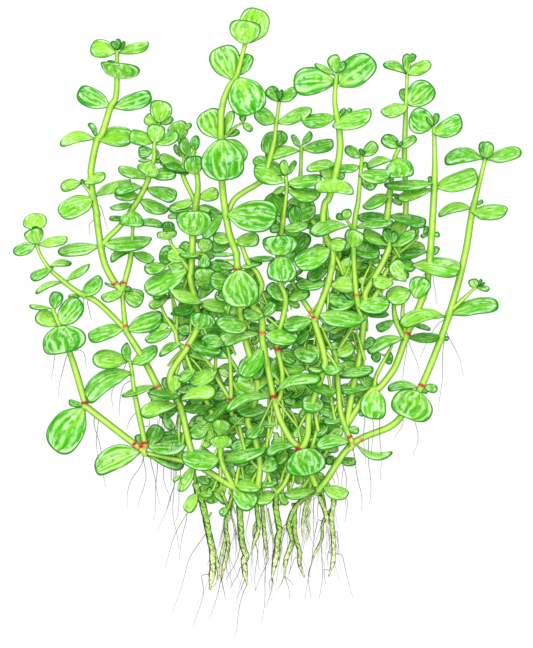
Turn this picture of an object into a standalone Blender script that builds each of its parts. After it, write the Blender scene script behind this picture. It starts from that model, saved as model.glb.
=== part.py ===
"""A bushy bunch of a round-leaved, variegated water plant, laid flat as it was picked.

The plant lies on a surface at z = 0. +X is to the right of the bunch, +Y runs from the root
tips to the shoot tips, and +Z points up from the surface. The shoots, the largest leaves and
the thickest rooting stems are solids of their own. The small leaves and the hair roots are
too many for that, so flat mats on the surface stand for them and reach their tips.

Places below are in millimetres, measured from the lowest root tip upwards.
"""

import math

import bmesh
import bpy
from mathutils import Vector

# Driving sizes, in millimetres.
PLANT_HEIGHT = 215.3
PLANT_MIDDLE_X = 0.0
STEM_RADIUS = 1.15
SIDE_STEM_RADIUS = 0.95
ROOTING_STEM_RADIUS = 1.1
THIN_ROOTING_STEM_RADIUS = 0.8
BLADE_THICKNESS = 0.7
BLADE_CUP = 0.09
BLADE_ARCH = 0.06
FOLIAGE_MAT_THICKNESS = 1.4
HAIR_MAT_THICKNESS = 0.6

# How finely the curved shapes are divided.
STEM_STEP = 9.0
ROOT_STEP = 5.0
BLADE_CELLS = 4
MAT_RESOLUTION = 3

MM = 0.001

# Each route runs from the free end of the stem down to where it joins the stem below.
MAIN_STEMS = {
    "stem_left_outer": [
        (-51.0, 200.5, 9.5), (-50.9, 191.0, 9.5), (-54.3, 177.5, 9.2), (-59.0, 165.5, 9.0),
        (-59.6, 154.0, 8.8), (-57.7, 144.5, 8.6), (-56.6, 134.0, 8.4), (-53.2, 124.0, 8.2),
        (-50.4, 120.4, 8.0),
    ],
    "stem_left_lower": [
        (-48.9, 117.6, 8.0), (-48.6, 110.0, 8.0), (-47.3, 104.3, 8.4), (-44.0, 98.5, 9.0),
        (-39.4, 91.0, 10.0), (-36.2, 85.2, 10.6),
    ],
    "stem_left_corner": [
        (-71.6, 110.0, 9.0), (-68.7, 102.0, 8.6), (-65.0, 91.5, 8.0), (-61.9, 80.8, 7.4),
        (-51.0, 71.8, 7.2), (-44.6, 66.4, 7.0),
    ],
    "runner_left": [
        (-42.0, 64.3, 7.0), (-35.3, 62.3, 7.4), (-27.0, 60.8, 8.0), (-19.1, 56.8, 9.0),
        (-13.0, 52.8, 9.6),
    ],
    "stem_left_centre": [
        (-24.5, 166.5, 15.0), (-23.4, 155.0, 15.5), (-24.8, 140.0, 16.0), (-25.3, 131.0, 16.0),
        (-26.0, 124.0, 16.0), (-23.7, 110.0, 15.5), (-27.6, 98.6, 14.0), (-32.6, 88.5, 12.6),
        (-29.8, 80.0, 11.6), (-26.3, 66.5, 10.0), (-25.2, 63.2, 9.4),
    ],
    "stem_centre_tall": [
        (-7.5, 202.3, 20.0), (-10.3, 191.8, 20.5), (-15.2, 181.0, 22.0), (-15.5, 166.0, 23.5),
        (-15.0, 152.0, 24.0), (-12.9, 139.0, 24.0), (-10.0, 126.0, 24.0), (-8.4, 108.0, 22.0),
        (-4.4, 91.5, 19.0), (-5.6, 76.0, 15.0), (-2.4, 62.0, 11.5), (-2.9, 52.5, 9.6),
    ],
    "stem_centre_front": [
        (-8.2, 132.9, 24.0), (-3.7, 125.5, 23.5), (-2.4, 119.5, 23.0), (-3.4, 112.5, 22.5),
        (-1.6, 104.0, 22.0), (1.5, 86.5, 19.5), (4.6, 75.0, 17.0), (10.6, 65.6, 14.5),
        (14.4, 58.4, 13.0), (15.6, 54.8, 12.0),
    ],
    "stem_right_tall": [
        (23.6, 192.3, 18.0), (23.0, 183.0, 18.5), (24.6, 170.0, 19.5), (22.3, 155.0, 20.0),
        (19.0, 144.0, 20.5), (22.3, 132.0, 21.0), (20.8, 121.0, 21.0), (16.6, 109.0, 20.5),
        (19.3, 96.0, 19.5), (16.6, 82.0, 17.5), (14.0, 71.5, 15.8), (12.6, 67.6, 15.0),
    ],
    "stem_right_short": [
        (44.8, 167.5, 12.0), (42.3, 157.0, 12.5), (40.7, 141.0, 13.0), (41.3, 134.5, 13.2),
        (34.4, 120.0, 13.6), (33.2, 109.0, 13.8), (31.0, 95.0, 13.8), (29.2, 79.0, 13.8),
    ],
    "stem_right_middle": [
        (56.8, 174.5, 13.0), (57.1, 162.0, 13.0), (56.5, 147.0, 12.5), (55.5, 134.0, 12.0),
        (54.2, 121.5, 12.0), (48.9, 107.0, 12.0), (45.0, 96.5, 12.5), (37.0, 86.0, 13.2),
        (32.6, 80.8, 13.5),
    ],
    "stem_right_outer": [
        (74.2, 163.6, 9.0), (71.0, 149.5, 9.5), (68.6, 138.0, 10.0), (64.2, 118.5, 10.5),
        (60.5, 107.0, 10.8), (55.5, 94.0, 11.0), (51.8, 85.0, 11.4), (44.2, 75.2, 12.4),
        (35.8, 69.9, 13.4), (29.5, 66.8, 14.0), (23.4, 58.5, 12.6), (19.7, 54.0, 11.6),
    ],
}

SIDE_STEMS = {
    "stem_left_inner": [
        (-36.8, 175.6, 15.0), (-38.3, 165.0, 14.6), (-40.3, 158.0, 14.0), (-43.6, 150.3, 12.6),
        (-48.8, 142.6, 10.6), (-54.6, 136.2, 8.6),
    ],
    "stem_left_side": [
        (-45.6, 141.0, 12.0), (-46.0, 134.5, 11.0), (-47.0, 127.5, 9.6), (-48.6, 121.6, 8.2),
    ],
    "runner_left_upper": [
        (-78.4, 134.6, 7.0), (-75.0, 128.0, 7.2), (-67.3, 120.8, 7.5), (-57.5, 115.0, 7.8),
        (-50.6, 108.7, 8.0),
    ],
    "stem_left_short": [
        (-47.2, 96.0, 10.0), (-45.6, 89.0, 9.4), (-43.9, 78.0, 8.2), (-41.6, 66.6, 7.4),
    ],
    "stem_centre_back": [
        (4.1, 183.0, 13.0), (2.8, 173.0, 14.5), (0.3, 161.0, 18.0), (-3.5, 155.1, 20.0),
        (-11.0, 150.0, 22.6),
    ],
    "stem_centre_short": [
        (6.4, 158.0, 18.0), (6.2, 149.0, 19.6), (4.4, 135.0, 21.0), (4.3, 122.3, 21.2),
        (6.1, 114.0, 20.8), (3.8, 101.0, 20.0), (5.6, 91.0, 18.8), (5.4, 85.0, 18.4),
    ],
    "stem_centre_slim": [
        (11.7, 168.0, 12.0), (11.4, 157.0, 12.4), (15.0, 143.3, 13.6), (19.7, 137.5, 14.4),
        (24.4, 131.0, 15.0), (23.0, 118.5, 15.2), (19.8, 107.0, 15.4), (22.9, 97.0, 15.4),
        (24.4, 84.0, 15.0), (27.6, 71.0, 14.6),
    ],
    "stem_right_inner": [
        (32.2, 164.5, 16.0), (31.5, 155.0, 16.0), (29.7, 142.0, 16.0), (29.3, 131.0, 16.0),
        (30.3, 119.0, 15.4), (31.4, 112.8, 14.6),
    ],
    "stem_right_back": [
        (47.7, 192.3, 9.0), (47.0, 178.0, 9.0), (46.9, 163.0, 9.0), (47.2, 148.0, 9.4),
        (45.5, 135.5, 10.4), (40.5, 125.5, 12.2), (36.8, 116.8, 13.6),
    ],
}

ROOTING_STEMS = {
    "rooting_stem_left": [
        (-23.8, 51.5, 9.0), (-21.5, 44.5, 6.6), (-20.1, 37.5, 4.6), (-18.7, 30.3, 3.2),
        (-18.6, 24.0, 2.4), (-19.5, 17.2, 1.9),
    ],
    "rooting_stem_left_centre": [
        (-10.0, 50.0, 9.0), (-9.2, 42.5, 6.8), (-8.9, 36.0, 5.0), (-8.1, 30.0, 3.4),
        (-7.6, 23.5, 2.4), (-6.8, 18.8, 1.9),
    ],
    "rooting_stem_centre": [
        (3.2, 50.5, 9.0), (3.1, 45.0, 7.2), (3.9, 39.0, 5.2), (3.6, 32.5, 3.6),
        (2.4, 25.7, 2.4), (1.8, 21.3, 1.9),
    ],
}

THIN_ROOTING_STEMS = {
    "rooting_stem_right_centre": [
        (12.4, 48.2, 9.0), (8.4, 43.0, 7.2), (7.6, 38.0, 5.4), (8.4, 33.5, 4.0),
        (6.6, 27.4, 2.6), (6.0, 21.6, 1.8),
    ],
    "rooting_stem_right": [
        (22.6, 48.4, 9.0), (22.2, 41.5, 6.4), (22.6, 34.0, 4.2), (22.7, 28.0, 2.8),
        (21.0, 21.5, 1.8),
    ],
}

# Blades: base, tip, width, and how far the blade leans about its own length, in degrees.
VARIEGATED_LEAVES = {
    "leaf_top_back": ((-6.0, 204.4, 18.5), (-2.4, 215.0, 17.5), 10.0, 5),
    "leaf_top_front": ((-7.6, 203.6, 23.0), (-7.0, 211.6, 27.0), 10.2, 0),
    "leaf_tall_left": ((-12.4, 193.0, 17.0), (-15.0, 202.3, 18.0), 9.8, 10),
    "leaf_tall_front": ((-9.6, 191.0, 23.4), (-4.3, 178.8, 28.0), 12.0, 0),
    "leaf_tall_back": ((-17.6, 172.5, 20.0), (-19.5, 180.2, 20.0), 9.0, 10),
    "leaf_tall_broad": ((-15.2, 170.0, 26.2), (-14.0, 156.3, 30.5), 14.0, 0),
    "leaf_centre_drooping": ((-9.9, 126.0, 26.6), (-8.0, 114.0, 31.0), 10.0, 0),
    "leaf_right_tall_inner": ((21.4, 190.4, 18.5), (8.7, 189.8, 19.5), 8.8, 12),
    "leaf_right_tall_outer": ((26.3, 191.4, 18.5), (35.6, 199.0, 19.5), 10.0, 10),
    "leaf_right_middle_top": ((55.2, 176.0, 13.0), (49.5, 180.3, 13.5), 8.6, 10),
    "leaf_right_back_top": ((49.3, 183.9, 9.4), (57.0, 189.5, 9.8), 8.4, 10),
    "leaf_left_outer_pair_left": ((-55.6, 182.8, 9.2), (-64.7, 186.4, 9.6), 8.0, 25),
    "leaf_left_outer_pair_right": ((-51.4, 182.4, 9.2), (-39.2, 185.4, 9.6), 8.4, 32),
    "leaf_left_outer_low": ((-58.6, 134.2, 8.4), (-71.2, 132.2, 8.8), 8.0, 50),
    "leaf_left_corner_broad": ((-70.2, 106.8, 11.4), (-68.5, 97.5, 16.0), 13.4, 0),
    "leaf_left_corner_top": ((-68.8, 110.2, 8.8), (-65.8, 117.3, 9.4), 7.4, 10),
    "leaf_left_corner_tip": ((-63.0, 78.8, 7.4), (-69.0, 63.9, 6.6), 12.4, 5),
    "leaf_runner_left": ((-45.2, 63.6, 7.0), (-58.6, 58.0, 5.4), 8.6, 15),
    "leaf_left_lower_right": ((-46.0, 107.2, 8.4), (-35.5, 111.0, 9.0), 8.2, 40),
    "leaf_right_outer_broad": ((52.0, 84.6, 13.8), (48.0, 75.6, 18.6), 14.2, 0),
    "leaf_right_outer_tip": ((75.8, 164.4, 9.0), (86.6, 166.5, 10.0), 8.4, 50),
    "leaf_right_outer_inner": ((72.4, 164.0, 9.0), (60.3, 163.0, 10.0), 8.6, 45),
    "leaf_right_outer_low": ((63.6, 110.8, 10.8), (78.7, 114.1, 11.4), 8.6, 50),
    "leaf_centre_low": ((12.4, 65.4, 17.2), (14.6, 56.2, 21.4), 13.2, 0),
}

PLAIN_LEAVES = {
    "leaf_left_centre_front": ((-24.6, 137.9, 18.4), (-24.3, 146.4, 22.6), 12.0, 0),
    "leaf_centre_short_front": ((3.9, 130.8, 23.6), (4.2, 137.8, 27.8), 11.8, 0),
    "leaf_left_upper_tip": ((-79.8, 134.3, 7.0), (-86.5, 132.2, 7.4), 6.2, 42),
}

# Outlines of the mats, each going round its patch of small leaves or hair roots.
FOLIAGE_MATS = {
    "foliage_left_top": [
        (-59.5, 203.0), (-50.5, 205.5), (-41.0, 202.5), (-46.0, 190.0), (-45.0, 176.0),
        (-36.0, 183.0), (-25.5, 175.5), (-19.0, 167.0), (-17.5, 152.0), (-27.0, 143.0),
        (-36.0, 140.5), (-50.0, 143.0), (-69.5, 144.5), (-70.0, 156.0), (-70.0, 169.0),
        (-61.0, 176.0),
    ],
    "foliage_left_low": [
        (-79.5, 145.0), (-68.0, 138.0), (-60.0, 128.5), (-42.0, 131.0), (-38.0, 118.0),
        (-41.0, 104.0), (-39.0, 92.0), (-45.0, 80.5), (-50.5, 79.5), (-59.0, 84.0),
        (-60.5, 97.0), (-77.5, 110.0), (-80.5, 122.0),
    ],
    "foliage_centre_top": [
        (3.5, 189.0), (10.0, 187.0), (20.0, 198.5), (26.0, 197.0), (29.0, 181.0), (34.5, 178.5),
        (26.5, 166.0), (22.0, 151.0), (19.0, 139.0), (5.0, 137.5), (-12.0, 140.0),
        (-15.5, 152.0), (-5.0, 161.0), (-6.5, 172.0), (-13.0, 179.0), (-4.5, 181.0),
    ],
    "foliage_centre_low": [
        (-32.0, 137.0), (-16.0, 136.5), (0.0, 134.0), (18.0, 133.5), (30.0, 119.0),
        (32.0, 104.0), (35.5, 92.0), (30.0, 78.0), (22.0, 72.0), (28.5, 60.0), (27.5, 48.5),
        (15.0, 50.5), (2.0, 47.0), (-8.0, 45.0), (-16.5, 43.5), (-28.0, 44.5), (-31.5, 55.0),
        (-28.0, 66.5), (-36.5, 73.5), (-41.0, 78.0), (-36.0, 92.0), (-38.0, 103.0),
        (-35.0, 116.0),
    ],
    "foliage_right": [
        (47.5, 199.5), (55.5, 196.5), (53.0, 185.0), (58.0, 179.0), (66.0, 177.0), (61.0, 162.0),
        (71.0, 158.5), (81.0, 147.0), (75.5, 121.0), (62.0, 104.0), (52.0, 101.0), (36.5, 97.0),
        (33.0, 108.0), (34.0, 124.0), (25.0, 134.0), (25.5, 146.0), (30.0, 160.0), (34.0, 169.0),
        (43.0, 171.0), (40.0, 181.0), (40.5, 195.0),
    ],
}

HAIR_ROOT_MATS = {
    "hair_roots_bottom": [
        (-37.3, 37.5), (-34.8, 24.0), (-31.9, 9.5), (-28.0, 13.0), (-25.0, 4.2), (-22.5, 8.0),
        (-19.7, 6.2), (-14.5, 10.0), (-11.2, 0.0), (-8.0, 9.0), (-1.8, 6.0), (4.0, 12.0),
        (8.0, 13.8), (15.0, 13.5), (18.0, 13.0), (23.0, 16.0), (29.4, 14.0), (26.5, 28.0),
        (27.0, 45.0), (14.0, 47.5), (2.0, 44.0), (-16.5, 40.5), (-29.0, 41.5),
    ],
    "hair_roots_left": [
        (-52.0, 76.5), (-46.0, 75.5), (-42.5, 71.0), (-38.0, 68.5), (-33.5, 65.0),
        (-33.6, 54.5), (-34.5, 44.5), (-40.0, 48.0), (-44.0, 45.0), (-48.0, 44.5),
        (-50.0, 53.0), (-55.5, 51.5), (-60.5, 66.0), (-59.0, 76.0), (-55.5, 80.0),
    ],
    "hair_roots_right": [
        (38.5, 91.5), (43.0, 95.5), (52.0, 97.5), (62.0, 100.0), (67.2, 90.0), (59.0, 78.0),
        (51.0, 63.0), (46.0, 64.0), (39.0, 54.0), (35.5, 46.0), (33.0, 56.0), (29.0, 69.0),
        (34.5, 79.0),
    ],
}


def plan(x, y, z):
    """A place on the plant, in metres from the middle of its box on the surface."""
    return Vector((x - PLANT_MIDDLE_X, y - PLANT_HEIGHT / 2, z)) * MM


def clear_objects():
    """Empty the scene of objects and make the collection for the plant."""
    for thing in list(bpy.data.objects):
        bpy.data.objects.remove(thing, do_unlink=True)
    collection = bpy.data.collections.new("water_plant_bunch")
    bpy.context.scene.collection.children.link(collection)
    return collection


def plain_material(name, colour, roughness):
    """A matte material with one colour."""
    material = bpy.data.materials.new(name)
    material.use_nodes = True
    shader = material.node_tree.nodes["Principled BSDF"]
    shader.inputs["Base Color"].default_value = (*colour, 1.0)
    shader.inputs["Roughness"].default_value = roughness
    shader.inputs["Metallic"].default_value = 0.0
    return material


def between(before, start, end, after, share):
    """A point of the smooth curve from start to end that its neighbours give."""
    linear = (end - before) * share
    square = (2 * before - 5 * start + 4 * end - after) * share**2
    cube = (3 * start - before - 3 * end + after) * share**3
    return (2 * start + linear + square + cube) / 2


def smooth_route(places, step):
    """Points about one step apart on the smooth curve through the given places."""
    knots = [plan(*place) for place in places]
    padded = [2 * knots[0] - knots[1], *knots, 2 * knots[-1] - knots[-2]]
    route = [knots[0]]
    for before, start, end, after in zip(padded, padded[1:], padded[2:], padded[3:]):
        pieces = max(1, round((end - start).length / (step * MM)))
        route += [between(before, start, end, after, (i + 1) / pieces) for i in range(pieces)]
    return route


def tube(name, places, radius, step, collection, material, end_share):
    """A solid stem along a route, thinning to a share of its radius at the free end."""
    route = smooth_route(places, step)
    curve = bpy.data.curves.new(name, "CURVE")
    curve.dimensions = "3D"
    curve.bevel_depth = radius * MM
    curve.bevel_resolution = 2
    curve.use_fill_caps = True
    spline = curve.splines.new("POLY")
    spline.points.add(len(route) - 1)
    for index, (point, place) in enumerate(zip(spline.points, route)):
        point.co = (*place, 1.0)
        point.radius = end_share + (1 - end_share) * index / (len(route) - 1)
    curve.materials.append(material)
    stem = bpy.data.objects.new(name, curve)
    collection.objects.link(stem)


def blade(name, base, tip, width, lean, collection, material):
    """A round, slightly cupped leaf blade of even thickness, from its base to its tip."""
    start = plan(*base)
    along = plan(*tip) - start
    length = along.length
    along.normalize()
    up = (Vector((0, 0, 1)) - along * along.z).normalized()
    towards_tip = Vector((0, 1, 0))
    side = up.cross(along)
    if side.dot(towards_tip) < 0:
        lean = -lean
    turn = math.radians(lean)
    facing = up * math.cos(turn) + side * math.sin(turn)
    across = facing.cross(along)
    mesh = bpy.data.meshes.new(name)
    shape = bmesh.new()
    bmesh.ops.create_grid(shape, x_segments=BLADE_CELLS, y_segments=BLADE_CELLS, size=1.0)
    for vertex in shape.verts:
        u, v = vertex.co.x, vertex.co.y
        reach = u * math.sqrt(1 - v * v / 2)
        spread = v * math.sqrt(1 - u * u / 2)
        crown = BLADE_ARCH * length * (1 - reach**2) - BLADE_CUP * width * MM * spread**2
        vertex.co = (
            start
            + along * length * (reach + 1) / 2
            + across * width * MM * spread / 2
            + facing * crown
        )
    shape.to_mesh(mesh)
    shape.free()
    mesh.materials.append(material)
    leaf = bpy.data.objects.new(name, mesh)
    collection.objects.link(leaf)
    skin = leaf.modifiers.new("thickness", "SOLIDIFY")
    skin.thickness = BLADE_THICKNESS * MM
    skin.offset = 0.0


def mat(name, outline, thickness, collection, material):
    """A flat mat with a rounded outline, lying on the surface."""
    curve = bpy.data.curves.new(name, "CURVE")
    curve.dimensions = "2D"
    curve.fill_mode = "BOTH"
    curve.extrude = thickness * MM / 2
    curve.resolution_u = MAT_RESOLUTION
    spline = curve.splines.new("BEZIER")
    spline.bezier_points.add(len(outline) - 1)
    spline.use_cyclic_u = True
    for point, (x, y) in zip(spline.bezier_points, outline):
        point.co = plan(x, y, 0)
        point.handle_left_type = "AUTO"
        point.handle_right_type = "AUTO"
    curve.materials.append(material)
    patch = bpy.data.objects.new(name, curve)
    patch.location.z = thickness * MM / 2
    collection.objects.link(patch)


def build_stems(collection, material):
    """The shoots, thick ones first."""
    for name, places in MAIN_STEMS.items():
        tube(name, places, STEM_RADIUS, STEM_STEP, collection, material, 0.8)
    for name, places in SIDE_STEMS.items():
        tube(name, places, SIDE_STEM_RADIUS, STEM_STEP, collection, material, 0.8)


def build_rooting_stems(collection, material):
    """The thick stems that run down from the base and carry the hair roots."""
    for name, places in ROOTING_STEMS.items():
        route = places[::-1]
        tube(name, route, ROOTING_STEM_RADIUS, ROOT_STEP, collection, material, 0.6)
    for name, places in THIN_ROOTING_STEMS.items():
        route = places[::-1]
        tube(name, route, THIN_ROOTING_STEM_RADIUS, ROOT_STEP, collection, material, 0.6)


def build_leaves(collection, variegated, plain):
    """The largest leaves, each a blade of its own."""
    for leaves, material in ((VARIEGATED_LEAVES, variegated), (PLAIN_LEAVES, plain)):
        for name, (base, tip, width, lean) in leaves.items():
            blade(name, base, tip, width, lean, collection, material)


def build_mats(collection, leaf_material, root_material):
    """The mats that stand for the small leaves and for the hair roots."""
    for name, outline in FOLIAGE_MATS.items():
        mat(name, outline, FOLIAGE_MAT_THICKNESS, collection, leaf_material)
    for name, outline in HAIR_ROOT_MATS.items():
        mat(name, outline, HAIR_MAT_THICKNESS, collection, root_material)


def main():
    """Build the whole bunch."""
    collection = clear_objects()
    variegated = plain_material("variegated_leaf", (0.19, 0.56, 0.06), 0.45)
    plain = plain_material("plain_leaf", (0.13, 0.44, 0.04), 0.5)
    stem = plain_material("stem", (0.50, 0.78, 0.10), 0.5)
    root = plain_material("root", (0.55, 0.62, 0.22), 0.6)
    build_stems(collection, stem)
    build_rooting_stems(collection, root)
    build_leaves(collection, variegated, plain)
    build_mats(collection, plain, root)


main()
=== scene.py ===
"""Looks for a bushy bunch of a round-leaved, variegated water plant, laid flat as picked.

Places are in millimetres: x to the right of the bunch, y upwards from its lowest root tip, and z
upwards from the surface that the bunch lies on. A stem's route runs from its free end down to
the stem that carries it.
"""

import functools
import logging
import math
import random
from dataclasses import dataclass, field
from enum import Enum
from typing import ClassVar

import bmesh
import bpy
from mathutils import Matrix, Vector


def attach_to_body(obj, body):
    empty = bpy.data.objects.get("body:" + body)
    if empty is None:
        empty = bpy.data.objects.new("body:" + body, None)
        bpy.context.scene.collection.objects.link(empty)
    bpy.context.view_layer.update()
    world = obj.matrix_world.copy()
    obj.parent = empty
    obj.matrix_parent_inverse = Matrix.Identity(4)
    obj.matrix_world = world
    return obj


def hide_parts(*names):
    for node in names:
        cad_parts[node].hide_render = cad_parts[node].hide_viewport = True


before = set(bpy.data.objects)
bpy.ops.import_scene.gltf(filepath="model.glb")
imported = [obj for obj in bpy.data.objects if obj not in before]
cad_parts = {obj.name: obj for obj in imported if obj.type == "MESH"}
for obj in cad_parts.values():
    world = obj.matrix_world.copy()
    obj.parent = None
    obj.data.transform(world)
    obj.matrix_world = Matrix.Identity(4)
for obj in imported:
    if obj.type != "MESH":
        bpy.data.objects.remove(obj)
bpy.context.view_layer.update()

MM = 0.001
PLANT_HEIGHT = 215.3
BODY = "root"
LOG = logging.getLogger("water_plant")

Place = tuple[float, float, float]
Route = tuple[tuple[float, ...], ...]
Colour = tuple[float, float, float]
Range = tuple[float, float]
SeenLeaf = tuple[float, float, float, float, float, str]
Socket = bpy.types.NodeSocket
Layer = bmesh.types.BMLayerItem


def plan(place: Vector) -> Vector:
    """A place in millimetres on the plant, as metres in the frame."""
    return Vector((place.x, place.y - PLANT_HEIGHT / 2, place.z)) * MM


def between(before: Vector, start: Vector, end: Vector, after: Vector, share: float) -> Vector:
    """A point of the smooth curve from start to end.

    Args:
        before: The place ahead of start.
        start: Where the stretch starts.
        end: Where the stretch ends.
        after: The place after end.
        share: How far along the stretch, from 0 to 1.

    Returns:
        The point.
    """
    linear = (end - before) * share
    square = (2 * before - 5 * start + 4 * end - after) * share**2
    cube = (3 * start - before - 3 * end + after) * share**3
    return (2 * start + linear + square + cube) / 2


def eased(value: float) -> float:
    """A share from 0 to 1 with a soft start and end."""
    held = min(1.0, max(0.0, value))
    return held * held * (3 - 2 * held)


def bell(distance: float, reach: float) -> float:
    """A soft bump of height 1 that dies away over the reach."""
    return math.exp(-((distance / reach) ** 2))


def on_disc(u: float, v: float) -> tuple[float, float]:
    """A point of the square from -1 to 1, moved on to the disc inside it."""
    return u * math.sqrt(1 - v * v / 2), v * math.sqrt(1 - u * u / 2)


class Course:
    """A smooth line through places, which knows its own length."""

    def __init__(self, places: tuple[Place, ...], step: float) -> None:
        """Draw the line.

        Args:
            places: What it passes through, in order.
            step: About how far apart its points are.
        """
        knots = [Vector(place) for place in places]
        padded = [2 * knots[0] - knots[1], *knots, 2 * knots[-1] - knots[-2]]
        self.points = [knots[0]]
        for before, start, end, after in zip(padded, padded[1:], padded[2:], padded[3:]):
            count = max(1, round((end - start).length / step))
            for index in range(count):
                share = (index + 1) / count
                self.points.append(between(before, start, end, after, share))
        self.arcs = [0.0]
        for start, end in zip(self.points, self.points[1:]):
            self.arcs.append(self.arcs[-1] + (end - start).length)

    @property
    def length(self) -> float:
        """The whole length."""
        return self.arcs[-1]

    def at(self, arc: float) -> tuple[Vector, Vector]:
        """A point of the line and the way on from it.

        Args:
            arc: How far along the line it is.

        Returns:
            The point, and the direction there.
        """
        index = 0
        while index < len(self.arcs) - 2 and self.arcs[index + 1] < arc:
            index += 1
        start, end = self.points[index], self.points[index + 1]
        run = end - start
        share = (arc - self.arcs[index]) / run.length
        return start + run * share, run.normalized()

    def nearest(self, x: float, y: float) -> tuple[float, float, Vector]:
        """The point of the line that lies nearest in plan.

        Args:
            x: Across the bunch.
            y: Up the bunch.

        Returns:
            How far it is in plan, how far along the line it is, and the point.
        """
        best = (math.inf, 0.0, self.points[0])
        for index, (start, end) in enumerate(zip(self.points, self.points[1:])):
            run = end - start
            flat = run.x**2 + run.y**2
            share = ((x - start.x) * run.x + (y - start.y) * run.y) / flat if flat else 0.0
            share = min(1.0, max(0.0, share))
            point = start + run * share
            distance = math.hypot(x - point.x, y - point.y)
            if distance < best[0]:
                best = (distance, self.arcs[index] + run.length * share, point)
        return best


class Tone(Enum):
    """How a leaf is coloured, by the first letter of its code."""

    STREAKED = "S"
    VEINED = "X"
    VARIEGATED = "V"
    MINT = "M"
    GREEN = "G"
    LIGHT = "L"
    DARK = "D"
    BUD = "B"


class Side(Enum):
    """Which side of its stem a leaf springs from, by the second letter of its code."""

    FRONT = "f"
    BACK = "b"
    FLANK = "s"
    OVER = "o"
    UNDER = "u"


class RootTone(Enum):
    """How a rooting stem is coloured."""

    GREEN = "G"
    PALE = "P"
    OLIVE = "O"


# Which way a bowed leaf arches, by the last letter of its code: up or down the page.
BOWS = {"a": 1, "h": -1}
# How much of each tone's paints a leaf takes: pale streaks, dark green, yellow light.
TONE_PAINTS = {
    Tone.STREAKED: (1.0, 0.0, 0.0),
    Tone.VEINED: (1.0, 0.42, 0.0),
    Tone.VARIEGATED: (0.55, 0.0, 0.15),
    Tone.MINT: (0.75, 0.1, 0.0),
    Tone.GREEN: (0.5, 0.2, 0.1),
    Tone.LIGHT: (0.5, 0.0, 0.7),
    Tone.DARK: (0.3, 0.75, 0.0),
    Tone.BUD: (0.0, 1.0, 0.0),
}
# How pale and how olive a rooting stem of each tone is.
ROOT_PAINTS = {RootTone.GREEN: (0.0, 0.0), RootTone.PALE: (1.0, 0.0), RootTone.OLIVE: (0.35, 1.0)}


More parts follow.
